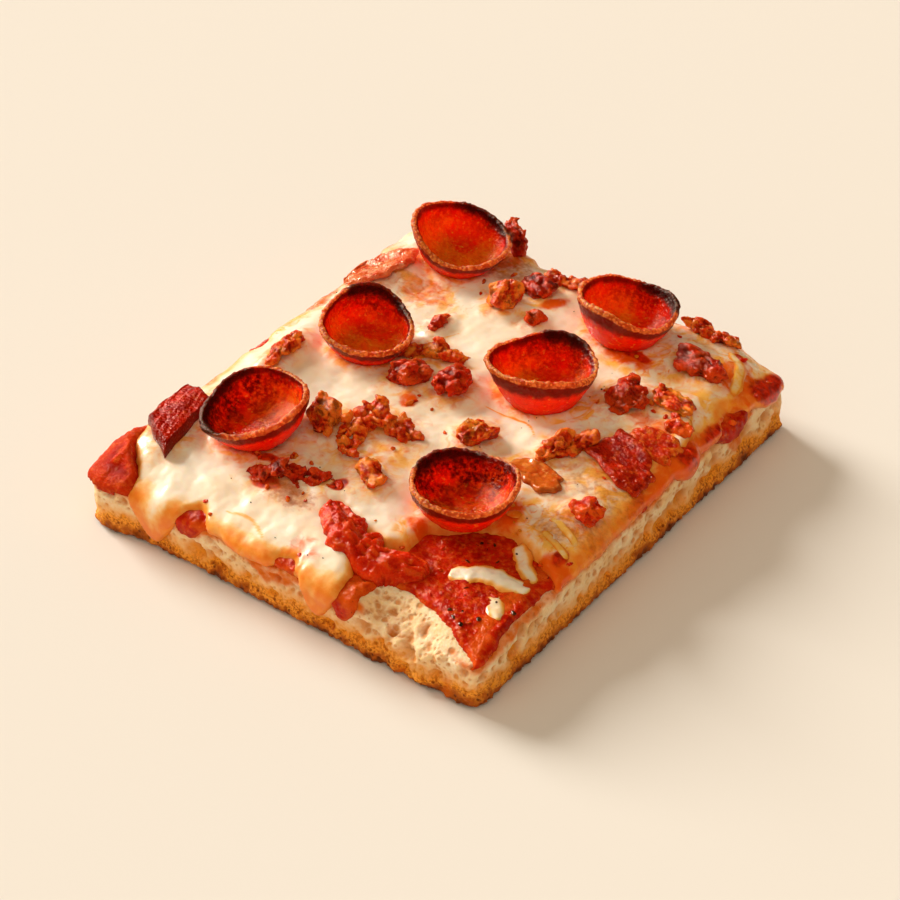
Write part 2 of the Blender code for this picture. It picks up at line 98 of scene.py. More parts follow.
def perlin(points: Array, size: float, seed: float = 0.0) -> Array:
    """Smooth unevenness between about -1 and 1.

    Args:
        points: Places in millimetres, one row each.
        size: The width of a bump.
        seed: A number that gives another pattern.

    Returns:
        One value for each point.
    """
    place = points / size + seed * SEED_STEP
    cell = np.floor(place)
    part = place - cell
    cell = cell.astype(np.int64)
    ease = part**3 * (part * (part * 6 - 15) + 10)
    total = np.zeros(len(points))
    for step in np.ndindex(2, 2, 2):
        corner = np.array(step)
        slope = GRADIENTS[scramble(cell + corner) & 15]
        weight = np.prod(np.where(corner == 1, ease, 1 - ease), axis=1)
        total += weight * ((part - corner) * slope).sum(axis=1)
    return total


def fractal(points: Array, size: float, seed: float = 0.0, octaves: int = 3, fade: float = 0.5) -> Array:
    """Unevenness with finer unevenness on it.

    Args:
        points: Places in millimetres.
        size: The width of the largest bumps.
        seed: A number that gives another pattern.
        octaves: How many sizes of bump, each half the one before.
        fade: The strength of each size next to the one before.

    Returns:
        One value for each point.
    """
    return sum(fade**step * perlin(points, size / 2**step, seed + 1.7 * step) for step in range(octaves))


def granules(points: Array, size: float, seed: int = 0) -> tuple[Array, Array]:
    """A packing of rounded grains.

    Args:
        points: Places in millimetres.
        size: The grains' spacing.
        seed: A number that gives another packing.

    Returns:
        For each point the distance to the nearest grain's middle, in spacings, and that grain's own number from 0 to 1.
    """
    place = points / size
    cell = np.floor(place).astype(np.int64)
    nearest = np.full(len(points), 9.0)
    number = np.zeros(len(points))
    for step in np.ndindex(3, 3, 3):
        key = cell + np.array(step) - 1
        jitter = np.stack([scramble(key, seed * 7 + axis) for axis in range(3)], axis=1) / 65535
        distance = np.linalg.norm(place - key - jitter, axis=1)
        closer = distance < nearest
        nearest = np.where(closer, distance, nearest)
        number = np.where(closer, jitter[:, 0], number)
    return nearest, number


def smooth_step(low: float, high: float, value: Array) -> Array:
    """0 at low, 1 at high, and smooth between, whichever of the two is greater."""
    t = np.clip((value - low) / (high - low), 0.0, 1.0)
    return t * t * (3 - 2 * t)


def bell(distance: Array, radius: float) -> Array:
    """1 at the middle and 0 from the radius on."""
    return np.clip(1 - (distance / radius) ** 2, 0.0, None) ** 2


def humps(x: Array, y: Array, table: tuple) -> Array:
    """The sum of round humps given as x, y, radius and rise."""
    return sum((rise * bell(np.hypot(x - hx, y - hy), radius) for hx, hy, radius, rise in table), np.zeros(len(x)))


def flat(x: Array, y: Array, z: float = 0.0) -> Array:
    """Rows of (x, y, z) with the same z."""
    return np.column_stack((x, y, np.full(len(x), z)))


def outside(x: Array, y: Array, outline: tuple) -> Array:
    """Distance from each (x, y) to a closed outline, negative inside it."""
    nearest = np.full(len(x), np.inf)
    inside = np.zeros(len(x), bool)
    for (ax, ay), (bx, by) in zip(outline, outline[1:] + outline[:1]):
        ex, ey = bx - ax, by - ay
        along = np.clip(((x - ax) * ex + (y - ay) * ey) / (ex * ex + ey * ey), 0.0, 1.0)
        nearest = np.minimum(nearest, np.hypot(x - ax - along * ex, y - ay - along * ey))
        if ay != by:
            crossed = ((ay > y) != (by > y)) & (x < ax + (y - ay) * ex / ey)
            inside ^= crossed
    return np.where(inside, -nearest, nearest)


@dataclass(frozen=True)
class Blot:
    """A soft oval mark on the sheet: its middle, its half-lengths, its turn in degrees and its strength."""

    x: float
    y: float
    long: float
    wide: float
    turn: float = 0.0
    strength: float = 1.0

    def mask(self, x: Array, y: Array, ragged: Array) -> Array:
        """The mark's strength at each (x, y), with its edge moved in and out by ragged."""
        way = math.radians(self.turn)
        dx, dy = x - self.x, y - self.y
        along = (dx * math.cos(way) + dy * math.sin(way)) / self.long
        across = (dy * math.cos(way) - dx * math.sin(way)) / self.wide
        return self.strength * smooth_step(1.25, 0.55, np.hypot(along, across) + ragged)


@dataclass(frozen=True)
class Stroke:
    """A mark, ridge or groove along a smooth path, narrow at its ends."""

    path: tuple
    width: float
    strength: float = 1.0

    def mask(self, x: Array, y: Array, ragged: Array) -> Array:
        """The stroke's strength at each (x, y)."""
        shares = np.linspace(0, 1, 8 * len(self.path))
        line, _ = along_path(self.path, shares)
        best = np.zeros(len(x))
        for start, end, share in zip(line, line[1:], shares):
            ex, ey = end - start
            along = np.clip(((x - start[0]) * ex + (y - start[1]) * ey) / (ex * ex + ey * ey), 0.0, 1.0)
            distance = np.hypot(x - start[0] - along * ex, y - start[1] - along * ey)
            half = self.width / 2 * (0.35 + 0.65 * math.sin(math.pi * min(max(share, 0.03), 0.97)))
            best = np.maximum(best, smooth_step(1.3, 0.3, distance / half + ragged))
        return self.strength * best


def marks(x: Array, y: Array, table: tuple, ragged: Array | float = 0.0) -> Array:
    """The strongest of the table's marks at each (x, y)."""
    found = np.zeros(len(x))
    for mark in table:
        found = np.maximum(found, mark.mask(x, y, ragged))
    return found


def along_path(path: tuple, share: Array) -> tuple[Array, Array]:
    """Places and directions along a smooth curve through a path.

    Args:
        path: The curve's points.
        share: How far along it each place is, from 0 to 1.

    Returns:
        The places, and the curve's direction at each with length 1.
    """
    knots = np.array(path, float)
    spans = len(knots) - 1
    span = np.clip((share * spans).astype(int), 0, spans - 1)
    t = (share * spans - span)[:, None]
    a, b, c, d = (knots[np.clip(span + step, 0, spans)] for step in (-1, 0, 1, 2))
    place = 0.5 * (2 * b + (c - a) * t + (2 * a - 5 * b + 4 * c - d) * t**2 + (3 * b - a - 3 * c + d) * t**3)
    slope = 0.5 * ((c - a) + 2 * (2 * a - 5 * b + 4 * c - d) * t + 3 * (3 * b - a - 3 * c + d) * t**2)
    return place, slope / np.linalg.norm(slope, axis=1)[:, None]


# The slice's own form, as the solids have it.


@dataclass(frozen=True)
class Slab:
    """The bread's plan and height, and the sheet of places that the layers share."""

    size_x: float = 125.0
    size_y: float = 145.0
    corner_radius: float = 3.4
    edge_radius: float = 2.0
    height: float = 16.4
    back_rise: float = 1.3
    wave: float = 0.5
    wave_length: float = 50.0
    side_wave: float = 0.5
    side_wave_length: float = 30.0
    torn_drop: float = 5.5
    torn_run: float = 10.0
    humps: tuple = (
        (62, -72, 15, -2.3),
        (62, 72, 17, -3.4),
        (-62, -74, 10, -0.6),
        (-65, -57, 14, 3.4),
        (-60, -4, 32, 2.3),
        (64, 20, 15, 2.2),
    )
    torn: tuple = ((22, -90), (25, -61.5), (33, -60.5), (42, -62.5), (51, -66), (60.5, -70.5), (61.5, -90))

    def past_edge(self, u: Array, v: Array) -> tuple[Array, Array, Array]:
        """How far each (u, v) is past the line where the top starts to bend.

        Returns:
            The distance, negative inside, the line's nearest points and the normals there.
        """
        corner = self.corner_radius - self.edge_radius
        half = np.array((self.size_x, self.size_y)) / 2 - self.edge_radius
        places = np.column_stack((u, v))
        side = np.where(places < 0, -1.0, 1.0)
        over = np.abs(places) - (half - corner)
        far = np.maximum(np.linalg.norm(over, axis=1), 1e-6)
        both = (over > 0).all(axis=1)
        mostly_x = over[:, 0] > over[:, 1]
        past = np.where(both, far, over.max(axis=1)) - corner
        straight = np.column_stack((mostly_x, ~mostly_x)).astype(float)
        normal = side * np.where(both[:, None], over / far[:, None], straight)
        on_line = np.where(straight > 0, side * half, places)
        edge = np.where(both[:, None], side * (half - corner) + normal * corner, on_line)
        return past, edge, normal

    def torn_share(self, x: Array, y: Array) -> Array:
        """How much of the front edge's crumb is torn away, from 0 to 1."""
        return smooth_step(0, self.torn_run, -outside(x, y, self.torn))

    def top(self, x: Array, y: Array) -> Array:
        """Height of the bread's top at each (x, y)."""
        level = self.height + self.back_rise * y / (self.size_y / 2) + humps(x, y, self.humps)
        length = self.wave_length
        waves = np.array([noise.noise((px / length, py / length, 1.5)) for px, py in zip(x, y)])
        return level + self.wave * waves - self.torn_drop * self.torn_share(x, y)

    def bulge(self, edge: Array) -> Array:
        """How far the side stands out at each point of the edge line."""
        length = self.side_wave_length
        waves = [noise.noise((px / length, py / length, 4.5)) for px, py in edge]
        left_corner = 2.2 * bell(np.hypot(edge[:, 0] + 61, edge[:, 1] + 70), 16)
        return self.side_wave * np.array(waves) + left_corner

    def wrap(self, u: Array, v: Array, lift: Array) -> Array:
        """The points that lie lift above the bread at each (u, v), bent down the side past the edge."""
        past, edge, normal = self.past_edge(u, v)
        over = past > 0
        inside = np.where(over[:, None], edge, np.column_stack((u, v)))
        top = self.top(inside[:, 0], inside[:, 1])
        angle = np.clip(past / self.edge_radius, 0, math.pi / 2)
        drop = np.clip(past - self.edge_radius * math.pi / 2, 0, None)
        out = (self.edge_radius + lift + self.bulge(edge)) * np.sin(angle)
        z = top + (self.edge_radius + lift) * np.cos(angle) - self.edge_radius - drop
        plan = inside + normal * out[:, None]
        return np.column_stack((plan, np.where(over, z, top + lift)))


SLAB = Slab()


@dataclass(frozen=True)
class CupPlace:
    """A pepperoni cup: its rim's middle, its sizes, its lean, how its rim is shaped and charred, and how strongly its
    inside is painted with glow and with shade.
    """

    x: float
    y: float
    rim: float
    base: float
    height: float
    lean: float
    towards: float
    seed: int
    round_waves: tuple = ()
    rise_waves: tuple = ()
    char_at: float = 90.0
    char_spread: float = 60.0
    # How strong the painted glow inside is, which stands in for light shining through the thin meat.
    painted_glow: float = 0.5
    # Dark murky patches inside, the strength of the painted shade on the inner wall below the rim on the charred side,
    # and how far down the wall that shade reaches.
    murk_and_painted_shade: float = 0.2
    painted_shade_reach: float = 0.86


CUPS = (
    CupPlace(-38.5, 57.4, 14.3, 9.8, 10.5, 15, -6, 1, ((2, 40, 0.03), (3, 100, 0.03)), ((2, 10, 0.5),), 95, 70, 1.0, 0.15, 0.8),
    CupPlace(-34.3, 8.6, 13.5, 9.5, 10.0, 12, -20, 2, ((3, 115, 0.07), (2, 60, 0.02)), ((3, 130, 0.9),), 110, 95, 0.85, 0.25, 0.85),
    CupPlace(-35.6, -38.9, 14.9, 10.0, 10.5, 12, -140, 3, ((2, 0, 0.02), (3, 10, 0.03)), ((2, 30, 0.6),), 205, 110, 0.8, 0.5, 0.95),
    CupPlace(15.9, 20.4, 14.6, 10.2, 12.5, 4, 110, 4, ((2, 20, 0.03), (3, 80, 0.03)), ((2, 100, 0.5),), 100, 60, 0.9),
    CupPlace(19.6, 56.2, 14.0, 9.8, 11.5, 9, 62, 5, ((2, 30, 0.03), (3, 60, 0.03)), ((3, 20, 0.5),), 60, 70, 0.95),
    CupPlace(28.2, -31.8, 14.8, 9.4, 11.0, 4, 110, 6, ((2, 10, 0.02), (3, 150, 0.04)), ((3, 170, 0.8),), 150, 80, 0.7, 0.55, 0.9),
)


# Working on meshes.


class Dough:
    """A closed mesh being worked on, in millimetres, before it becomes an object."""

    def __init__(self, bm: bmesh.types.BMesh) -> None:
        """Take over a bmesh, and free it."""
        self.mesh = bpy.data.meshes.new("work")
        bm.to_mesh(self.mesh)
        bm.free()

    @property
    def points(self) -> Array:
        """The vertices' places, one row each."""
        held = np.empty(len(self.mesh.vertices) * 3, np.float32)
        self.mesh.vertices.foreach_get("co", held)
        return held.reshape(-1, 3).astype(float)

    @points.setter
    def points(self, places: Array) -> None:
        self.mesh.vertices.foreach_set("co", places.astype(np.float32).ravel())
        self.mesh.update()

    @property
    def normals(self) -> Array:
        """The vertices' normals, one row each."""
        held = np.empty(len(self.mesh.vertices) * 3, np.float32)
        self.mesh.vertex_normals.foreach_get("vector", held)
        return held.reshape(-1, 3).astype(float)

    def swell(self, amount: Array) -> None:
        """Move every vertex outwards along its normal by its amount."""
        self.points = self.points + self.normals * np.asarray(amount)[:, None]

    def mark(self, name: str, values: Array) -> None:
        """Keep one number for each vertex under a name that materials read."""
        layer = self.mesh.attributes.get(name) or self.mesh.attributes.new(name, "FLOAT", "POINT")
        layer.data.foreach_set("value", np.asarray(values, np.float32))

    def read(self, name: str) -> Array:
        """The numbers kept under a name."""
        held = np.empty(len(self.mesh.vertices), np.float32)
        self.mesh.attributes[name].data.foreach_get("value", held)
        return held.astype(float)

    def sunken(self, rounds: int) -> Array:
        """How far each vertex lies below its surroundings, in millimetres.

        Args:
            rounds: How many times the surroundings are averaged, edge by edge.

        Returns:
            The depths, negative on ridges.
        """
        ends = np.empty(len(self.mesh.edges) * 2, np.int32)
        self.mesh.edges.foreach_get("vertices", ends)
        first, second = ends[::2], ends[1::2]
        size, start = len(self.mesh.vertices), self.points
        count = np.maximum(np.bincount(ends, minlength=size), 1)
        average = start
        for _ in range(rounds):
            average = np.column_stack([
                (np.bincount(first, column[second], size) + np.bincount(second, column[first], size)) / count
                for column in average.T
            ])
        return np.einsum("ij,ij->i", average - start, self.normals)

    def mark_relief(self, scale: float, rounds: int = 6) -> None:
        """Keep the mesh's hollows and ridges as marks, which finishes use for painted shade in hollows and, on meat,
        painted highlights on ridges.

        Args:
            scale: The depth in millimetres that counts as full.
            rounds: How widely the surroundings are averaged.
        """
        depth = self.sunken(rounds)
        self.mark("hollow", smooth_step(0.05 * scale, scale, depth))
        self.mark("ridge", smooth_step(0.05 * scale, scale, -depth))

    def modify(self, kind: str, **settings: float | str | bool) -> None:
        """Put one of Blender's modifiers on the mesh and apply it.

        Args:
            kind: The modifier's type.
            settings: Its settings, by name.
        """
        holder = bpy.data.objects.new("work", self.mesh)
        bpy.context.scene.collection.objects.link(holder)
        modifier = holder.modifiers.new(kind.lower(), kind)
        for name, value in settings.items():
            setattr(modifier, name, value)
        graph = bpy.context.evaluated_depsgraph_get()
        made = bpy.data.meshes.new_from_object(holder.evaluated_get(graph))
        bpy.data.objects.remove(holder, do_unlink=True)
        bpy.data.meshes.remove(self.mesh)
        self.mesh = made

    def subdivide(self, levels: int) -> None:
        """Round the mesh off with a subdivision surface."""
        self.modify("SUBSURF", levels=levels, render_levels=levels)

    def remesh(self, voxel: float) -> None:
        """Merge everything into one skin with cells of the given size."""
        self.modify("REMESH", mode="VOXEL", voxel_size=voxel)

    def squeeze(self) -> None:
        """Press softly into the solids' box whatever comes within the margin of its sides."""
        margin = 1.6
        places = self.points
        for axis in (0, 1):
            for side, limit in ((-1, cad_box[0][axis] / MM), (1, cad_box[1][axis] / MM)):
                over = side * (places[:, axis] - limit) + margin
                pressed = limit + side * (margin * np.tanh(over / margin) - margin)
                places[:, axis] = np.where(over > 0, pressed, places[:, axis])
        self.points = places

    def serve(self, name: str, finish: "Finish", slot: str, nodes: tuple = ()) -> bpy.types.Object:
        """Turn the mesh into an object in metres that rides on the slice.

        Args:
            name: The object's name.
            finish: What it is made of.
            slot: The record's material slot; not used.
            nodes: The solids that it stands for.

        Returns:
            The object.
        """
        self.squeeze()
        bm = bmesh.new()
        bm.from_mesh(self.mesh)
        bmesh.ops.recalc_face_normals(bm, faces=bm.faces)
        bmesh.ops.scale(bm, vec=(MM, MM, MM), verts=bm.verts)
        bm.to_mesh(self.mesh)
        bm.free()
        self.mesh.name = name
        self.mesh.shade_smooth()
        self.mesh.materials.clear()
        self.mesh.materials.append(finish.material())
        piece = bpy.data.objects.new(name, self.mesh)
        bpy.context.scene.collection.objects.link(piece)
        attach(piece, "root")
        if nodes:
            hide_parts(*nodes)
        log.info("%s: %d faces", name, len(self.mesh.polygons))
        return piece


class Ground:
    """What toppings lie on: the layers already made."""

    def __init__(self, layers: list[Dough]) -> None:
        """Prepare to feel for the layers from above."""
        self.trees = []
        for layer in layers:
            polygons = [tuple(polygon.vertices) for polygon in layer.mesh.polygons]
            self.trees.append(BVHTree.FromPolygons(layer.points.tolist(), polygons))

    def height(self, x: Array, y: Array) -> Array:
        """The layers' height at each (x, y), and 0 beside the slice."""
        down, found = Vector((0, 0, -1)), np.zeros(len(x))
        for index, (px, py) in enumerate(zip(x, y)):
            hits = [tree.ray_cast(Vector((px, py, 90)), down)[0] for tree in self.trees]
            found[index] = max((hit.z for hit in hits if hit), default=0.0)
        return found

    def level(self, x: Array, y: Array, reach: float) -> Array:
        """The layers' height averaged over a small ring round each (x, y), never below the middle's by much."""
        middle = self.height(x, y)
        total = middle.copy()
        for turn in range(5):
            angle = turn * math.tau / 5
            beside = self.height(x + reach * math.cos(angle), y + reach * math.sin(angle))
            total += np.where(beside < middle - 4, middle, beside)
        return total / 6


def sheet(cell: float, beyond: float) -> bmesh.types.BMesh:
    """A flat grid over the whole sheet.

    Args:
        cell: The size of its cells.
        beyond: How far it runs on past the bread's edges.

    Returns:
        The grid, with (u, v) as its x and y.
    """
    wide, long = SLAB.size_x + 2 * beyond, SLAB.size_y + 2 * beyond
    bm = bmesh.new()
    bmesh.ops.create_grid(bm, x_segments=round(wide / cell), y_segments=round(long / cell), size=0.5)
    bmesh.ops.scale(bm, vec=(wide, long, 1), verts=bm.verts)
    return bm


def plan(bm: bmesh.types.BMesh) -> tuple[Array, Array]:
    """The x and y of a bmesh's vertices."""
    places = np.array([vert.co.xy[:] for vert in bm.verts])
    return places[:, 0], places[:, 1]


def keep_where(bm: bmesh.types.BMesh, cover: Array) -> None:
    """Delete the vertices whose cover is negative, and what is left hanging by a corner."""
    lost = [vert for vert, inside in zip(bm.verts, cover) if inside < 0]
    bmesh.ops.delete(bm, geom=lost, context="VERTS")
    lost = [vert for vert in bm.verts if not vert.link_faces]
    while lost:
        bmesh.ops.delete(bm, geom=lost, context="VERTS")
        lost = [vert for vert in bm.verts if sum(edge.is_boundary for edge in vert.link_edges) > 2]


def root_layer(bm: bmesh.types.BMesh, inset: float, depth: float) -> None:
    """Close a layer that is laid over the bread by a skirt that runs into the bread and a flat floor there.

    Args:
        bm: The open layer, laid in place.
        inset: How far in from the bread's side the floor ends.
        depth: The floor's height.
    """
    ring = [edge for edge in bm.edges if edge.is_boundary]
    made = bmesh.ops.extrude_edge_only(bm, edges=ring)["geom"]
    ring = [item for item in made if isinstance(item, bmesh.types.BMEdge)]
    lower = list({vert for edge in ring for vert in edge.verts})
    x, y = np.array([vert.co.xy[:] for vert in lower]).T
    past, edge, normal = SLAB.past_edge(x, y)
    near = past > -inset
    target = np.where(near[:, None], edge - normal * inset, np.column_stack((x, y)))
    for vert, place in zip(lower, target):
        vert.co = (*place, depth)
    bmesh.ops.edgenet_fill(bm, edges=ring, mat_nr=0, use_smooth=True, sides=0)


# What things are made of.


class Nodes:
    """Makes one material's nodes and links."""

    def __init__(self, tree: bpy.types.NodeTree) -> None:
        """Work in a node tree."""
        self.tree = tree

    def add(self, kind: str, inputs: dict | None = None, **settings: object) -> bpy.types.Node:
        """Add a node.

        Args:
            kind: The node's type, without its Shader prefix.
            inputs: Values or output sockets for its inputs, by name or number.
            settings: The node's own settings.

        Returns:
            The node.
        """
        node = self.tree.nodes.new("ShaderNode" + kind)
        for name, value in settings.items():
            setattr(node, name, value)
        for name, value in (inputs or {}).items():
            if isinstance(value, bpy.types.NodeSocket):
                self.tree.links.new(value, node.inputs[name])
            else:
                node.inputs[name].default_value = value
        return node

    def attribute(self, name: str) -> bpy.types.NodeSocket:
        """The numbers that the mesh keeps under a name."""
        return self.add("Attribute", attribute_name=name).outputs["Fac"]

    def places(self) -> bpy.types.NodeSocket:
        """Object coordinates."""
        return self.add("TexCoord").outputs["Object"]

    def group(self, shared: bpy.types.NodeTree, inputs: dict) -> bpy.types.Node:
        """Place a shared group with its own values."""
        node = self.tree.nodes.new("ShaderNodeGroup")
        node.node_tree = shared
        for name, value in inputs.items():
            if isinstance(value, bpy.types.NodeSocket):
                self.tree.links.new(value, node.inputs[name])
            else:
                node.inputs[name].default_value = value
        return node

    def mix(self, share: object, first: object, second: object, mode: str = "MIX") -> bpy.types.NodeSocket:
        """Mix two colours."""
        node = self.add("Mix", data_type="RGBA", blend_type=mode)
        for index, value in ((0, share), (6, first), (7, second)):
            if isinstance(value, bpy.types.NodeSocket):
                self.tree.links.new(value, node.inputs[index])
            else:
                node.inputs[index].default_value = (*value, 1) if isinstance(value, tuple) else value
        return node.outputs[2]

    def math(self, kind: str, first: object, second: object = 0.0, third: object = 0.0) -> bpy.types.NodeSocket:
        """Work out a number from others."""
        return self.add("Math", {0: first, 1: second, 2: third}, operation=kind).outputs[0]

    def span(self, value: object, low: float, high: float, to_low: float, to_high: float) -> bpy.types.NodeSocket:
        """Map a value from one range smoothly to another."""
        inputs = {"Value": value, "From Min": low, "From Max": high, "To Min": to_low, "To Max": to_high}
        return self.add("MapRange", inputs, interpolation_type="SMOOTHSTEP").outputs["Result"]


def shared_group(name: str, inputs: dict, outputs: tuple) -> tuple[bpy.types.NodeTree, Nodes, object, object]:
    """Start a shared shader group.

    Args:
        name: The group's name.
        inputs: Its inputs' defaults, by name.
        outputs: The names of its outputs, which are numbers.

    Returns:
        The group, a maker for its nodes, and its input and output nodes.
    """
    tree = bpy.data.node_groups.new(name, "ShaderNodeTree")
    tree.interface.new_socket("Vector", in_out="INPUT", socket_type="NodeSocketVector")
    for label, value in inputs.items():
        tree.interface.new_socket(label, in_out="INPUT", socket_type="NodeSocketFloat").default_value = value
    for label in outputs:
        tree.interface.new_socket(label, in_out="OUTPUT", socket_type="NodeSocketFloat")
    return tree, Nodes(tree), tree.nodes.new("NodeGroupInput"), tree.nodes.new("NodeGroupOutput")


class Effects:
    """Shader groups that several finishes use, each built once."""

    @staticmethod
    def mottle() -> bpy.types.NodeTree:
        """Cloudy patches: Size in millimetres, and the range of the noise that becomes 0 to 1."""
        name = "mottle"
        if name in bpy.data.node_groups:
            return bpy.data.node_groups[name]
        defaults = {"Size": 5.0, "Low": 0.4, "High": 0.6, "Detail": 3.0, "Swirl": 0.0}
        tree, nodes, start, end = shared_group(name, defaults, ("Mask",))
        scale = nodes.math("DIVIDE", 1 / MM, start.outputs["Size"])
        inputs = {"Vector": start.outputs["Vector"], "Scale": scale, "Detail": start.outputs["Detail"]}
        cloud = nodes.add("TexNoise", {**inputs, "Distortion": start.outputs["Swirl"]})
        mask = nodes.add("MapRange", {"Value": cloud.outputs["Fac"], "From Min": start.outputs["Low"], "From Max": start.outputs["High"]})
        tree.links.new(mask.outputs["Result"], end.inputs["Mask"])
        return tree

    @staticmethod
    def ragged() -> bpy.types.NodeTree:
        """A painted mask with a ragged edge: Size of the rags in millimetres, and how far they reach."""
        name = "ragged"
        if name in bpy.data.node_groups:
            return bpy.data.node_groups[name]
        defaults = {"Paint": 0.0, "Size": 2.0, "Reach": 0.5, "Sharp": 0.25, "Swirl": 0.0}
        tree, nodes, start, end = shared_group(name, defaults, ("Mask",))
        scale = nodes.math("DIVIDE", 1 / MM, start.outputs["Size"])
        inputs = {"Vector": start.outputs["Vector"], "Scale": scale, "Detail": 4.0, "Distortion": start.outputs["Swirl"]}
        cloud = nodes.add("TexNoise", inputs)
        centred = nodes.math("SUBTRACT", cloud.outputs["Fac"], 0.5)
        moved = nodes.math("MULTIPLY_ADD", centred, start.outputs["Reach"], start.outputs["Paint"])
        low = nodes.math("SUBTRACT", 0.5, start.outputs["Sharp"])
        high = nodes.math("ADD", 0.5, start.outputs["Sharp"])
        inputs = {"Value": moved, "From Min": low, "From Max": high}
        mask = nodes.add("MapRange", inputs, interpolation_type="SMOOTHSTEP")
        gate = nodes.math("GREATER_THAN", start.outputs["Paint"], 0.02)
        tree.links.new(nodes.math("MULTIPLY", mask.outputs["Result"], gate), end.inputs["Mask"])
        return tree

    @staticmethod
    def pits() -> bpy.types.NodeTree:
        """Scattered round pits: Size of their spacing in millimetres, and the Share of places that have one."""
        name = "pits"
        if name in bpy.data.node_groups:
            return bpy.data.node_groups[name]
        tree, nodes, start, end = shared_group(name, {"Size": 1.5, "Share": 0.5}, ("Mask",))
        scale = nodes.math("DIVIDE", 1 / MM, start.outputs["Size"])
        cells = nodes.add("TexVoronoi", {"Vector": start.outputs["Vector"], "Scale": scale})
        number = nodes.add("SeparateColor", {"Color": cells.outputs["Color"]}).outputs["Red"]
        there = nodes.math("LESS_THAN", number, start.outputs["Share"])
        hole = nodes.span(cells.outputs["Distance"], 0.42, 0.16, 0.0, 1.0)
        tree.links.new(nodes.math("MULTIPLY", hole, there), end.inputs["Mask"])
        return tree

    @staticmethod
    def grain() -> bpy.types.NodeTree:
        """Fine grain for bumps: rounded grains of a size in millimetres, with finer noise on them."""
        name = "grain"
        if name in bpy.data.node_groups:
            return bpy.data.node_groups[name]
        tree, nodes, start, end = shared_group(name, {"Size": 1.0, "Fine": 0.4}, ("Height", "Grain"))
        scale = nodes.math("DIVIDE", 1 / MM, start.outputs["Size"])
        cells = nodes.add("TexVoronoi", {"Vector": start.outputs["Vector"], "Scale": scale}, feature="SMOOTH_F1")
        finer = nodes.math("MULTIPLY", scale, 2.3)
        cloud = nodes.add("TexNoise", {"Vector": start.outputs["Vector"], "Scale": finer, "Detail": 4.0})
        inverse = nodes.math("SUBTRACT", 1.0, cells.outputs["Distance"])
        height = nodes.math("MULTIPLY_ADD", cloud.outputs["Fac"], start.outputs["Fine"], inverse)
        tree.links.new(height, end.inputs["Height"])
        tree.links.new(inverse, end.inputs["Grain"])
        return tree


def tint(red: int, green: int, blue: int) -> tuple[float, float, float]:
    """A colour as light levels, from its red, green and blue on a screen (0 to 255)."""
    shares = (value / 255 for value in (red, green, blue))
    return tuple(share / 12.92 if share < 0.04045 else ((share + 0.055) / 1.055) ** 2.4 for share in shares)


@dataclass(frozen=True)
class Finish:
    """What a piece is made of: how light scatters in it, its gloss, and the nodes that colour it."""

    name: str
    subsurface: float = 0.5
    scatter: tuple = (1.2, 0.5, 0.25)
    coat: float = 0.3
    coat_roughness: float = 0.15
    bump: float = 0.3
    bump_height: float = 0.2
    specular: float = 0.3
    ior: float = 1.45
    shine: tuple = (1.0, 0.62, 0.36, 1.0)

    def material(self) -> bpy.types.Material:
        """The finish's material, made the first time that it is asked for."""
        name = f"{self.name}_finish"
        if name in bpy.data.materials:
            return bpy.data.materials[name]
        made = bpy.data.materials.new(name)
        made.use_nodes = True
        nodes = Nodes(made.node_tree)
        shader = made.node_tree.nodes["Principled BSDF"]
        shader.inputs["Subsurface Weight"].default_value = self.subsurface
        shader.inputs["Subsurface Radius"].default_value = self.scatter
        shader.inputs["Subsurface Scale"].default_value = MM
        shader.inputs["Specular IOR Level"].default_value = self.specular
        shader.inputs["Specular Tint"].default_value = self.shine
        shader.inputs["IOR"].default_value = self.ior
        shader.inputs["Coat Weight"].default_value = self.coat
        shader.inputs["Coat Roughness"].default_value = self.coat_roughness
        colour, roughness, height = self.dress(nodes)
        made.node_tree.links.new(colour, shader.inputs["Base Color"])
        made.node_tree.links.new(roughness, shader.inputs["Roughness"])
        inputs = {"Height": height, "Strength": self.bump, "Distance": self.bump_height * MM}
        bump = nodes.add("Bump", inputs)
        made.node_tree.links.new(bump.outputs["Normal"], shader.inputs["Normal"])
        return made

    def dress(self, nodes: Nodes) -> tuple:
        """The sockets of the finish's colour, roughness and bump height."""
        raise NotImplementedError


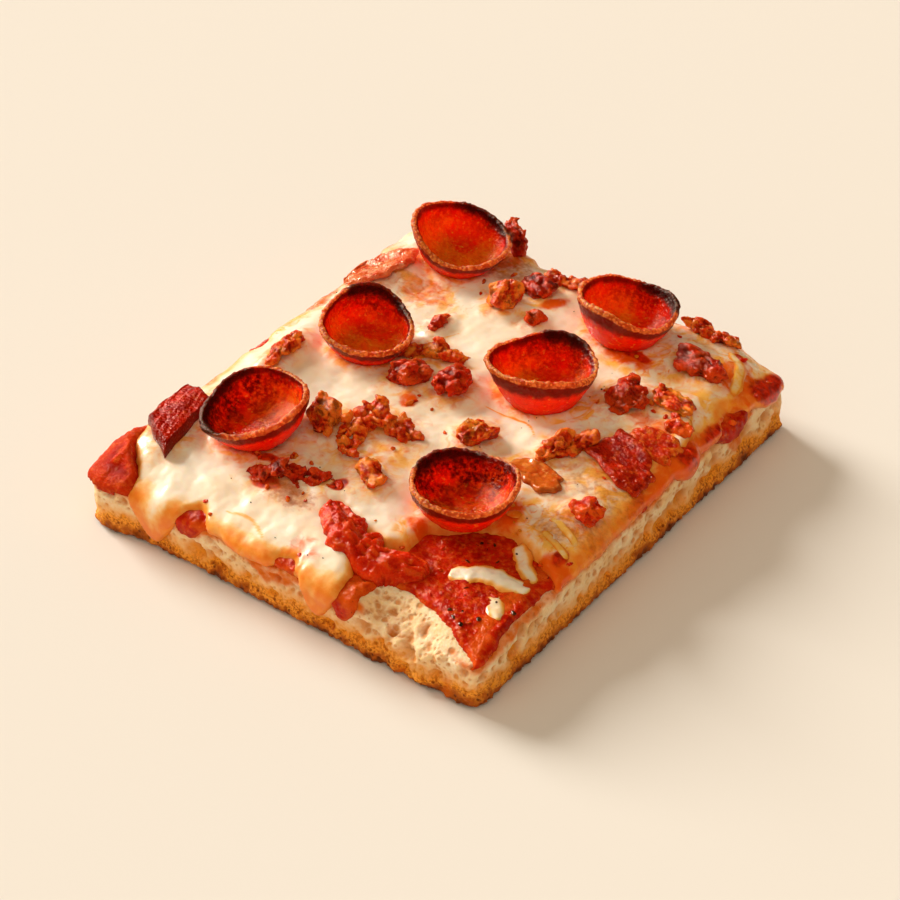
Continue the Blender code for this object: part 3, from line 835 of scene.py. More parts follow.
@dataclass(frozen=True)
class BreadFinish(Finish):
    """Open crumb, golden lower down, with a browned and charred base."""

    crumb: tuple = tint(253, 228, 188)
    crumb_warm: tuple = tint(244, 190, 112)
    pore: tuple = tint(206, 120, 38)
    golden: tuple = tint(248, 156, 34)
    brown: tuple = tint(166, 68, 8)
    char: tuple = tint(88, 34, 10)
    soaked: tuple = tint(224, 106, 16)

    def dress(self, nodes: Nodes) -> tuple:
        """The sockets of the finish's colour, roughness and bump height."""
        places = nodes.places()
        height = nodes.add("SeparateXYZ", {"Vector": places}).outputs["Z"]
        level = nodes.math("DIVIDE", height, MM)
        broad = nodes.group(Effects.mottle(), {"Vector": places, "Size": 9.0, "Low": 0.35, "High": 0.65}).outputs["Mask"]
        small = nodes.group(Effects.mottle(), {"Vector": places, "Size": 2.2, "Low": 0.4, "High": 0.65}).outputs["Mask"]
        fine = nodes.group(Effects.mottle(), {"Vector": places, "Size": 0.7, "Low": 0.45, "High": 0.6}).outputs["Mask"]
        wavy = nodes.math("MULTIPLY_ADD", broad, 3.4, level)
        wavy = nodes.math("MULTIPLY_ADD", small, 1.0, wavy)
        colour = nodes.mix(nodes.math("MULTIPLY", broad, 0.55), self.crumb, self.crumb_warm)
        pits = nodes.group(Effects.pits(), {"Vector": places, "Size": 1.5, "Share": 0.5}).outputs["Mask"]
        holes = nodes.group(Effects.pits(), {"Vector": places, "Size": 3.1, "Share": 0.35}).outputs["Mask"]
        open_crumb = nodes.math("MAXIMUM", nodes.math("MULTIPLY", pits, 0.55), nodes.math("MULTIPLY", holes, 0.8))
        pore = nodes.math("MAXIMUM", nodes.attribute("pore"), open_crumb)
        colour = nodes.mix(nodes.math("MULTIPLY", fine, 0.3), colour, self.crumb_warm)
        # Pore colour in the pores and, as painted shade, in the mesh's hollows.
        colour = nodes.mix(nodes.math("MAXIMUM", pore, nodes.math("MULTIPLY", nodes.attribute("hollow"), 0.8)), colour, self.pore)
        colour = nodes.mix(nodes.span(wavy, 12.5, 6.4, 0.0, 0.95), colour, self.golden)
        speck = nodes.math("MULTIPLY", nodes.math("MAXIMUM", pits, fine), nodes.span(wavy, 9.5, 5.0, 0.0, 0.8))
        browned = nodes.math("MAXIMUM", nodes.span(wavy, 6.0, 3.8, 0.0, 0.85), speck)
        colour = nodes.mix(browned, colour, self.brown)
        charred = nodes.math("MAXIMUM", nodes.span(wavy, 4.0, 2.4, 0.0, 0.85), nodes.math("MULTIPLY", pits, nodes.span(wavy, 6.5, 4.5, 0.0, 0.8)))
        colour = nodes.mix(charred, colour, self.char)
        stain = nodes.group(Effects.ragged(), {"Vector": places, "Paint": nodes.attribute("stain"), "Size": 3.0, "Reach": 1.2, "Sharp": 0.5})
        colour = nodes.mix(stain.outputs["Mask"], colour, self.soaked)
        grain = nodes.group(Effects.grain(), {"Vector": places, "Size": 0.9, "Fine": 0.6}).outputs["Height"]
        grain = nodes.math("MULTIPLY_ADD", open_crumb, -2.2, grain)
        roughness = nodes.span(wavy, 2.0, 6.0, 0.55, 0.8)
        return colour, roughness, grain


@dataclass(frozen=True)
class SauceFinish(Finish):
    """Cooked tomato sauce: wet, lumpy and uneven in colour."""

    red: tuple = tint(206, 36, 6)
    deep: tuple = tint(160, 14, 3)
    orange: tuple = tint(236, 104, 22)
    speck: tuple = tint(60, 16, 6)

    def dress(self, nodes: Nodes) -> tuple:
        """The sockets of the finish's colour, roughness and bump height."""
        places = nodes.places()
        broad = nodes.group(Effects.mottle(), {"Vector": places, "Size": 6.0, "Low": 0.35, "High": 0.65}).outputs["Mask"]
        small = nodes.group(Effects.mottle(), {"Vector": places, "Size": 1.6, "Low": 0.45, "High": 0.7}).outputs["Mask"]
        colour = nodes.mix(broad, self.red, self.deep)
        colour = nodes.mix(nodes.math("MULTIPLY", small, 0.45), colour, self.orange)
        thin = nodes.attribute("thin")
        colour = nodes.mix(thin, colour, self.orange)
        # Painted shade: deeper red in the mesh's hollows.
        colour = nodes.mix(nodes.math("MULTIPLY", nodes.attribute("hollow"), 0.6), colour, self.deep)
        speck = nodes.group(Effects.mottle(), {"Vector": places, "Size": 0.9, "Low": 0.68, "High": 0.74}).outputs["Mask"]
        colour = nodes.mix(nodes.math("MULTIPLY", speck, 0.8), colour, self.speck)
        grain = nodes.group(Effects.grain(), {"Vector": places, "Size": 1.3, "Fine": 0.8}).outputs["Height"]
        roughness = nodes.span(small, 0.0, 1.0, 0.14, 0.3)
        return colour, roughness, grain


@dataclass(frozen=True)
class CheeseFinish(Finish):
    """Melted cheese: cream where thick, amber where thin, stained by oil and sauce and toasted in spots."""

    cream: tuple = tint(252, 232, 206)
    warm: tuple = tint(245, 204, 156)
    amber: tuple = tint(255, 184, 82)
    gold: tuple = tint(244, 136, 22)
    oil: tuple = tint(234, 92, 6)
    red: tuple = tint(216, 44, 4)
    deep: tuple = tint(150, 16, 2)
    toast: tuple = tint(186, 92, 26)

    def dress(self, nodes: Nodes) -> tuple:
        """The sockets of the finish's colour, roughness and bump height."""
        places = nodes.places()
        broad = nodes.group(Effects.mottle(), {"Vector": places, "Size": 13.0, "Low": 0.35, "High": 0.7}).outputs["Mask"]
        small = nodes.group(Effects.mottle(), {"Vector": places, "Size": 2.5, "Low": 0.35, "High": 0.7}).outputs["Mask"]
        colour = nodes.mix(nodes.math("MULTIPLY", broad, 0.6), self.cream, self.warm)
        # Painted shade: amber in the mesh's hollows.
        colour = nodes.mix(nodes.math("MULTIPLY", nodes.attribute("hollow"), 0.4), colour, self.amber)
        paint = {"Vector": places, "Paint": nodes.attribute("thin"), "Size": 7.0, "Reach": 1.6, "Sharp": 0.55, "Swirl": 1.6}
        thin = nodes.group(Effects.ragged(), paint).outputs["Mask"]
        swirl = {"Vector": places, "Size": 7.0, "Low": 0.40, "High": 0.58, "Detail": 3.0, "Swirl": 2.0}
        swirl = nodes.group(Effects.mottle(), swirl).outputs["Mask"]
        thin = nodes.math("MULTIPLY", thin, nodes.math("MULTIPLY_ADD", swirl, 0.9, 0.1))
        colour = nodes.mix(thin, colour, self.amber)
        streaks = {"Vector": places, "Size": 5.0, "Low": 0.55, "High": 0.72, "Detail": 3.0, "Swirl": 2.5}
        streaks = nodes.group(Effects.mottle(), streaks).outputs["Mask"]
        streaks = nodes.math("MULTIPLY", streaks, nodes.attribute("thin"))
        colour = nodes.mix(nodes.math("MULTIPLY", streaks, 1.1), colour, self.gold)
        edge = nodes.math("MULTIPLY_ADD", nodes.math("SUBTRACT", small, 0.5), 0.25, nodes.attribute("edge"))
        colour = nodes.mix(nodes.span(edge, 0.1, 0.75, 0.0, 0.9), colour, self.amber)
        colour = nodes.mix(nodes.span(edge, 0.5, 1.0, 0.0, 0.9), colour, self.gold)
        colour = nodes.mix(nodes.span(edge, 0.85, 1.15, 0.0, 0.5), colour, self.oil)
        paint = {"Vector": places, "Paint": nodes.attribute("oil"), "Size": 2.6, "Reach": 1.2, "Sharp": 0.45, "Swirl": 0.8}
        oil = nodes.group(Effects.ragged(), paint).outputs["Mask"]
        colour = nodes.mix(oil, colour, self.oil)
        paint = {"Vector": places, "Paint": nodes.math("MULTIPLY", nodes.attribute("red"), 1.5), "Size": 2.6, "Reach": 0.9, "Sharp": 0.45}
        ring = nodes.group(Effects.ragged(), paint).outputs["Mask"]
        colour = nodes.mix(ring, colour, self.oil)
        red = nodes.group(Effects.ragged(), {"Vector": places, "Paint": nodes.attribute("red"), "Size": 2.0, "Reach": 0.9, "Sharp": 0.4}).outputs["Mask"]
        clots = {"Vector": places, "Size": 1.6, "Low": 0.4, "High": 0.65}
        clots = nodes.group(Effects.mottle(), clots).outputs["Mask"]
        colour = nodes.mix(red, colour, nodes.mix(clots, self.red, self.deep))
        toast = nodes.group(Effects.ragged(), {"Vector": places, "Paint": nodes.attribute("toast"), "Size": 1.2, "Reach": 1.2, "Sharp": 0.4}).outputs["Mask"]
        colour = nodes.mix(nodes.math("MULTIPLY", toast, 0.8), colour, self.toast)
        grain = nodes.group(Effects.grain(), {"Vector": places, "Size": 2.6, "Fine": 0.5}).outputs["Height"]
        wet = nodes.math("MAXIMUM", oil, nodes.math("MULTIPLY", thin, 0.7))
        roughness = nodes.span(nodes.math("MULTIPLY_ADD", small, -0.3, wet), -0.3, 1.0, 0.42, 0.2)
        return colour, roughness, grain


@dataclass(frozen=True)
class CupFinish(Finish):
    """Baked pepperoni: a painted glow of bright red inside that stands in for light through the thin meat, painted
    shade on the inner wall, golden beads at the rim, char here and there.
    """

    red: tuple = tint(255, 52, 4)
    deep: tuple = tint(254, 28, 3)
    # The painted glow's colour, brighter and more orange than the meat.
    painted_glow_tint: tuple = tint(255, 124, 16)
    fleck: tuple = tint(255, 150, 50)
    clot: tuple = tint(222, 14, 2)
    # Colour of the dark murk and of the painted shade inside.
    murk_and_painted_shade: tuple = tint(84, 5, 2)
    rim: tuple = tint(168, 70, 20)
    bead: tuple = tint(240, 156, 74)
    scorched: tuple = tint(78, 10, 4)
    char: tuple = tint(30, 7, 3)

    def dress(self, nodes: Nodes) -> tuple:
        """The sockets of the finish's colour, roughness and bump height."""
        places = nodes.places()
        broad = nodes.group(Effects.mottle(), {"Vector": places, "Size": 4.5, "Low": 0.35, "High": 0.65}).outputs["Mask"]
        small = nodes.group(Effects.mottle(), {"Vector": places, "Size": 1.1, "Low": 0.42, "High": 0.66}).outputs["Mask"]
        colour = nodes.mix(broad, self.red, self.deep)
        # Painted glow: brighter, more orange red where light would shine through the thin meat.
        painted_glow = nodes.attribute("painted_glow")
        shine = nodes.math("MULTIPLY_ADD", small, 0.35, painted_glow)
        colour = nodes.mix(nodes.span(shine, 0.3, 1.4, 0.0, 0.75), colour, self.painted_glow_tint)
        dim = nodes.group(Effects.mottle(), {"Vector": places, "Size": 2.0, "Low": 0.5, "High": 0.72}).outputs["Mask"]
        colour = nodes.mix(nodes.math("MULTIPLY", dim, 0.35), colour, self.clot)
        fat = nodes.group(Effects.mottle(), {"Vector": places, "Size": 1.3, "Low": 0.62, "High": 0.7}).outputs["Mask"]
        colour = nodes.mix(nodes.math("MULTIPLY", fat, 0.6), colour, self.fleck)
        # Dark murk and painted shade inside the cup.
        colour = nodes.mix(nodes.math("MULTIPLY", nodes.attribute("murk_and_painted_shade"), nodes.math("MULTIPLY_ADD", small, -0.5, 1.0)), colour, self.murk_and_painted_shade)
        paint = {"Vector": places, "Paint": nodes.attribute("band"), "Size": 2.0, "Reach": 0.8, "Sharp": 0.4}
        band = nodes.group(Effects.ragged(), paint).outputs["Mask"]
        colour = nodes.mix(nodes.math("MULTIPLY", band, 0.9), colour, self.scorched)
        lip = nodes.group(Effects.ragged(), {"Vector": places, "Paint": nodes.attribute("lip"), "Size": 1.2, "Reach": 0.5, "Sharp": 0.3}).outputs["Mask"]
        colour = nodes.mix(lip, colour, self.rim)
        crisp = nodes.group(Effects.grain(), {"Vector": places, "Size": 0.8, "Fine": 0.7})
        bead = nodes.span(crisp.outputs["Grain"], 0.5, 0.8, 0.0, 1.0)
        bead = nodes.math("MAXIMUM", nodes.math("MULTIPLY", bead, 0.8), nodes.attribute("bead"))
        colour = nodes.mix(nodes.math("MULTIPLY", bead, lip), colour, self.bead)
        char = nodes.group(Effects.ragged(), {"Vector": places, "Paint": nodes.attribute("char"), "Size": 1.6, "Reach": 0.7, "Sharp": 0.35}).outputs["Mask"]
        colour = nodes.mix(nodes.math("MULTIPLY", char, 0.92), colour, self.char)
        roughness = nodes.span(nodes.math("MAXIMUM", lip, char), 0.0, 1.0, 0.2, 0.42)
        return colour, roughness, crisp.outputs["Height"]


@dataclass(frozen=True)
class MeatFinish(Finish):
    """Bacon, sausage or a flat slice: lean and fat, browned and oily, with painted shade in its creases and ridges
    painted lighter, partly crisping and partly painted highlight.
    """

    lean: tuple = tint(168, 30, 8)
    dark: tuple = tint(96, 10, 4)
    fat: tuple = tint(228, 124, 40)
    char: tuple = tint(44, 8, 4)
    # Painted shade for the creases, and the crisp colour for the ridges, which is partly crisped meat and partly
    # painted highlight.
    crease_shade: tuple = tint(84, 10, 4)
    crisp: tuple = tint(236, 124, 50)
    fat_low: float = 0.52
    cloud: float = 3.0

    def dress(self, nodes: Nodes) -> tuple:
        """The sockets of the finish's colour, roughness and bump height."""
        places = nodes.places()
        broad = nodes.group(Effects.mottle(), {"Vector": places, "Size": self.cloud, "Low": 0.35, "High": 0.65}).outputs["Mask"]
        colour = nodes.mix(broad, self.lean, self.dark)
        small = nodes.group(Effects.mottle(), {"Vector": places, "Size": 0.9, "Low": 0.45, "High": 0.7}).outputs["Mask"]
        warm = nodes.group(Effects.mottle(), {"Vector": places, "Size": 2.1, "Low": self.fat_low, "High": self.fat_low + 0.1}).outputs["Mask"]
        fat = nodes.math("MAXIMUM", nodes.math("MULTIPLY", warm, nodes.math("MULTIPLY_ADD", small, 0.5, 0.3)), nodes.attribute("fat"))
        colour = nodes.mix(fat, colour, self.fat)
        # Ridges painted lighter and more orange: partly crisped edges, partly painted highlight.
        raised = nodes.math("MULTIPLY", nodes.attribute("ridge"), nodes.math("MULTIPLY_ADD", small, 0.45, 0.15))
        colour = nodes.mix(raised, colour, self.crisp)
        # Painted shade: darker in the mesh's hollows.
        colour = nodes.mix(nodes.math("MULTIPLY", nodes.attribute("hollow"), 0.6), colour, self.crease_shade)
        char = nodes.attribute("char")
        colour = nodes.mix(nodes.math("MULTIPLY", char, 0.85), colour, self.char)
        grain = nodes.group(Effects.grain(), {"Vector": places, "Size": 0.8, "Fine": 0.8}).outputs["Height"]
        roughness = nodes.span(small, 0.0, 1.0, 0.14, 0.34)
        return colour, roughness, grain


@dataclass(frozen=True)
class FloorFinish(Finish):
    """A plain pale table."""

    pale: tuple = tint(234, 226, 214)

    def dress(self, nodes: Nodes) -> tuple:
        """The sockets of the finish's colour, roughness and bump height."""
        cloud = nodes.add("TexNoise", {"Vector": nodes.places(), "Scale": 6.0, "Detail": 2.0}).outputs["Fac"]
        darker = tuple(share * 0.985 for share in self.pale)
        colour = nodes.mix(cloud, self.pale, darker)
        return colour, nodes.span(cloud, 0.0, 1.0, 0.9, 0.92), cloud


BREAD = BreadFinish("bread", subsurface=0.35, scatter=(1.4, 0.9, 0.5), coat=0.0, bump=0.6, bump_height=0.4)
SAUCE = SauceFinish(
    "sauce", subsurface=0.3, scatter=(1.5, 0.3, 0.1), coat=0.0, bump=0.8, bump_height=0.4, specular=0.2, ior=1.4,
)
CHEESE = CheeseFinish(
    "cheese", subsurface=0.5, scatter=(1.6, 1.1, 0.7), coat=0.25, coat_roughness=0.15, bump=0.12, bump_height=0.25,
    shine=(1.0, 0.94, 0.86, 1.0),
)
PEPPERONI = CupFinish(
    "pepperoni", subsurface=0.7, scatter=(7.5, 0.5, 0.1), coat=0.0, bump=1.0, bump_height=0.3, specular=0.3, ior=1.4,
)
SLICED = MeatFinish(
    "sliced_pepperoni", subsurface=0.3, scatter=(2.0, 0.4, 0.12), coat=0.0, bump=0.9, bump_height=0.35,
    specular=0.06, ior=1.3, lean=tint(206, 44, 8), dark=tint(178, 24, 4), fat=tint(226, 104, 34), char=tint(90, 14, 6),
    crisp=tint(222, 86, 28), crease_shade=tint(130, 10, 4), fat_low=0.56, cloud=5.0,
)
SALAMI = MeatFinish(
    "salami", subsurface=0.3, scatter=(2.0, 0.4, 0.12), coat=0.0, bump=0.9, bump_height=0.35,
    specular=0.22, ior=1.38, lean=tint(206, 36, 8), dark=tint(160, 16, 4), fat=tint(226, 92, 30), crisp=tint(222, 70, 22),
    fat_low=0.62, cloud=4.0,
)
BACON = MeatFinish(
    "bacon", subsurface=0.45, scatter=(2.2, 0.6, 0.15), coat=0.0, bump=0.8, bump_height=0.4,
    specular=0.35, ior=1.4, lean=tint(226, 56, 10), dark=tint(176, 24, 5), fat=tint(255, 146, 44), crisp=tint(252, 118, 32),
    crease_shade=tint(110, 12, 3),
)
SAUSAGE = MeatFinish(
    "sausage", subsurface=0.45, scatter=(2.2, 0.6, 0.15), coat=0.0, bump=0.8, bump_height=0.4,
    specular=0.35, ior=1.4, lean=tint(206, 38, 8), dark=tint(150, 16, 4), fat=tint(240, 92, 26), crisp=tint(232, 80, 22),
    crease_shade=tint(88, 9, 3), fat_low=0.56, cloud=2.2,
)
VEILED = MeatFinish(
    "veiled_pepperoni", subsurface=0.4, scatter=(1.8, 0.7, 0.2), coat=0.0, bump=0.5, bump_height=0.35,
    specular=0.4, ior=1.4, lean=tint(228, 120, 66), dark=tint(206, 62, 20), fat=tint(244, 190, 140), crisp=tint(240, 160, 104),
    crease_shade=tint(184, 48, 12), char=tint(190, 44, 10), cloud=6.0,
)
GLAZED = MeatFinish(
    "glazed_pepperoni", subsurface=0.4, scatter=(1.8, 0.7, 0.2), coat=0.3, coat_roughness=0.08, bump=0.3, bump_height=0.3,
    ior=1.3, lean=tint(216, 112, 34), dark=tint(190, 66, 14), fat=tint(240, 160, 80), crisp=tint(238, 150, 66),
    crease_shade=tint(160, 54, 10), char=tint(110, 26, 6), cloud=5.0,
)
TOMATO = MeatFinish(
    "tomato", subsurface=0.4, scatter=(2.5, 0.4, 0.1), coat=0.0, bump=0.8, bump_height=0.35,
    specular=0.3, ior=1.42, lean=tint(230, 50, 8), dark=tint(190, 22, 4), fat=tint(242, 112, 28), crisp=tint(238, 90, 24),
    crease_shade=tint(160, 16, 3), fat_low=0.6, cloud=4.0,
)
HERB = MeatFinish(
    "herb", subsurface=0.0, coat=0.1, coat_roughness=0.2, bump=0.5, bump_height=0.2,
    lean=tint(52, 26, 8), dark=tint(24, 10, 4), fat=tint(96, 52, 14), char=tint(16, 6, 3),
)
OIL = MeatFinish(
    "oil", subsurface=0.6, scatter=(2.0, 0.9, 0.2), coat=0.6, coat_roughness=0.04, bump=0.05, bump_height=0.1,
    lean=tint(240, 140, 30), dark=tint(232, 112, 16), fat=tint(246, 170, 70), char=tint(214, 84, 10),
)
FLOOR = FloorFinish("table", subsurface=0.0, coat=0.0, bump=0.02, bump_height=0.5, shine=(1.0, 1.0, 1.0, 1.0))


# The layers.


@dataclass(frozen=True)
class Bread:
    """The bread, with pores in its cut sides and a torn front corner."""

    cell: float = 0.52
    band: float = 16.5
    row: float = 0.52
    floor: float = 9.0

    def shape(self) -> Dough:
        """The top's outer band bent over the edges, sides drawn down to the underside, and both openings closed."""
        bm = sheet(self.cell, SLAB.edge_radius * (math.pi / 2 - 1) + 0.1)
        u, v = plan(bm)
        inner = np.minimum(SLAB.size_x / 2 - self.band - np.abs(u), SLAB.size_y / 2 - self.band - np.abs(v))
        keep_where(bm, -inner)
        u, v = plan(bm)
        _, _, normal = SLAB.past_edge(u, v)
        outward = bm.verts.layers.float_vector.new("outward")
        for vert, place, way in zip(bm.verts, SLAB.wrap(u, v, np.zeros(len(u))), normal):
            vert.co = place
            vert[outward] = (*way, 0)
        rings = [edge for edge in bm.edges if edge.is_boundary]
        reach = SLAB.size_x / 2 - self.band / 2, SLAB.size_y / 2 - self.band / 2
        outer = [edge for edge in rings if any(abs(v.co.x) > reach[0] or abs(v.co.y) > reach[1] for v in edge.verts)]
        hole = [edge for edge in rings if edge not in set(outer)]
        self.draw_down(bm, outer, outward)
        made = bmesh.ops.extrude_edge_only(bm, edges=hole)["geom"]
        hole = [item for item in made if isinstance(item, bmesh.types.BMEdge)]
        for vert in {vert for edge in hole for vert in edge.verts}:
            vert.co.z = self.floor
        bmesh.ops.edgenet_fill(bm, edges=hole)
        bmesh.ops.recalc_face_normals(bm, faces=bm.faces)
        return Dough(bm)

    def draw_down(self, bm: bmesh.types.BMesh, ring: list, outward: object) -> None:
        """Extrude the ring down in rows to the underside and close it there."""
        tops = bm.verts.layers.float.new("start")
        for vert in {vert for edge in ring for vert in edge.verts}:
            vert[tops] = vert.co.z
        rows = round(SLAB.height / self.row)
        for step in range(1, rows + 1):
            made = bmesh.ops.extrude_edge_only(bm, edges=ring)["geom"]
            ring = [item for item in made if isinstance(item, bmesh.types.BMEdge)]
            share = step / rows
            tuck = 1.0 * max(0.0, (share - 0.92) / 0.08) - 1.0 * max(0.0, (share - 0.92 - 1 / rows) / 0.08)
            for vert in {vert for edge in ring for vert in edge.verts}:
                vert.co.z = vert[tops] * (1 - share)
                vert.co -= vert[outward] * tuck
        bmesh.ops.contextual_create(bm, geom=ring)

    def bake(self) -> bpy.types.Object:
        """Roughen the bread, mark its pores and stains, and serve it."""
        dough = self.shape()
        places = dough.points
        x, y, z = places.T
        past, _, _ = SLAB.past_edge(x, y)
        torn = SLAB.torn_share(x, y)
        side = np.maximum(smooth_step(-1.0, 1.0, past), smooth_step(0.02, 0.3, torn)) * smooth_step(0.2, 1.2, z)
        low = smooth_step(5.0, 2.5, z + 1.2 * perlin(places, 6, 3.0))
        stretched = places * (1, 1, 1.25)
        small, kind = granules(stretched, 2.4, 3)
        middling, choice = granules(stretched, 4.6, 4)
        large, pick = granules(stretched, 9.0, 5)
        pits = smooth_step(0.46, 0.12, small) * (kind > 0.35)
        hollows = smooth_step(0.44, 0.14, middling + 0.1 * perlin(places, 2.0, 2.0)) * (choice > 0.45)
        caves = smooth_step(0.44, 0.18, large + 0.15 * perlin(places, 3.0, 2.0)) * (pick > 0.45)
        waves = fractal(places, 7.0, 1.0, 4)
        depth = (0.6 * pits + 1.1 * hollows) * (1 - low) + (1.3 + 1.8 * torn) * caves * (1 - low) - 0.5 * waves
        crusty = low * (0.35 + 0.6 * fractal(places, 1.8, 8.0, 3)) - 0.5 * low * smooth_step(0.45, 0.1, granules(places, 1.6, 9)[0])
        swelling = side * (crusty - depth * (1 - 0.6 * low)) + 1.8 * torn * fractal(places, 4.5, 6.0, 4) * smooth_step(0, 0.4, torn)
        opened = np.maximum.reduce([0.45 * pits, 0.6 * hollows, 0.8 * caves]) + 0.25 * smooth_step(0.1, 0.6, -waves)
        dough.mark("pore", np.clip(opened, 0, 1) * (1 - low) * side)
        golden = 0.75 * smooth_step(0.1, 0.5, torn) * smooth_step(-0.1, 0.35, perlin(places * (1, 1, 0.5), 7.0, 12.0))
        dough.mark("stain", side * (1 - smooth_step(0.05, 0.4, torn)) * self.stains(places) + golden)
        dough.swell(swelling)
        placed = dough.points
        placed[:, 2] = np.where(z < 0.05, 0.0, np.maximum(placed[:, 2], 0.05))
        dough.points = placed
        dough.mark_relief(0.35)
        return dough.serve("baked_bread", BREAD, "crust", ("crust",))

    @staticmethod
    def stains(places: Array) -> Array:
        """How much sauce and oil has soaked into the bread's side under the layers."""
        x, y, z = places.T
        past, edge, _ = SLAB.past_edge(x, y)
        top = SLAB.top(edge[:, 0], edge[:, 1])
        below = top - z + 1.5 * perlin(places, 5, 4.0)
        reach = 2.0 + humps(edge[:, 0], edge[:, 1], ((62, 47, 8, 9.0), (20, -72, 7, 5.0), (-31, -72, 9, 3.5), (-3, -72, 12, 5.0)))
        return 0.8 * smooth_step(reach + 1.5, reach - 1.5, below) * (past > -1)


@dataclass(frozen=True)
class SauceLayer:
    """The sauce over the bread."""

    cell: float = 0.62
    beyond: float = 13.0
    thickness: float = 1.3
    gap: float = 0.35
    overhang: float = 1.5
    runs: tuple = ((21, -72, 6, 7.5), (-31, -72, 8, 5), (62, -50, 20, -1.6), (62, 44, 9, 5), (-62, -6, 9, 3))

    def gap_at(self, u: Array, v: Array) -> Array:
        """The solids' air between layers, which the layers here fill, and almost none on the sides."""
        return self.gap * (1 - 0.6 * smooth_step(-1, 3, SLAB.past_edge(u, v)[0]))

    def cover(self, u: Array, v: Array) -> Array:
        """Distance from each (u, v) into the sauce from its outline."""
        past, edge, _ = SLAB.past_edge(u, v)
        places = flat(u, v)
        inside = self.overhang + humps(edge[:, 0], edge[:, 1], self.runs) - past
        bare = outside(u, v, SLAB.torn)
        return np.minimum(inside, bare) + 0.9 * fractal(places, 5.0, 11.0, 3)

    def top(self, u: Array, v: Array) -> Array:
        """Height of the sauce above the bread."""
        return self.gap_at(u, v) + self.thickness * (1 - 0.45 * smooth_step(-1, 3, SLAB.past_edge(u, v)[0]))

    def spread(self) -> Dough:
        """The sauce as a lumpy layer rooted in the bread."""
        bm = sheet(self.cell, self.beyond)
        u, v = plan(bm)
        keep_where(bm, self.cover(u, v) + 1.0)
        u, v = plan(bm)
        cover = self.cover(u, v)
        places = flat(u, v)
        rounded = np.sqrt(np.clip(1 - (1 - np.clip(cover / 1.6, 0, 1)) ** 2, 0, 1))
        lumps = 0.45 * fractal(places, 4.0, 12.0, 4) + 0.35 * smooth_step(0.5, 0.0, granules(places, 2.6, 2)[0])
        lift = (self.top(u, v) + lumps) * rounded - 0.8 * smooth_step(0.2, -1.0, cover)
        for vert, place in zip(bm.verts, SLAB.wrap(u, v, lift)):
            vert.co = place
        root_layer(bm, 5.0, 9.0)
        dough = Dough(bm)
        full = np.zeros(len(dough.mesh.vertices))
        full[: len(u)] = smooth_step(1.5, 0.0, cover) * 0.5
        dough.mark("thin", full)
        dough.mark_relief(0.3)
        return dough


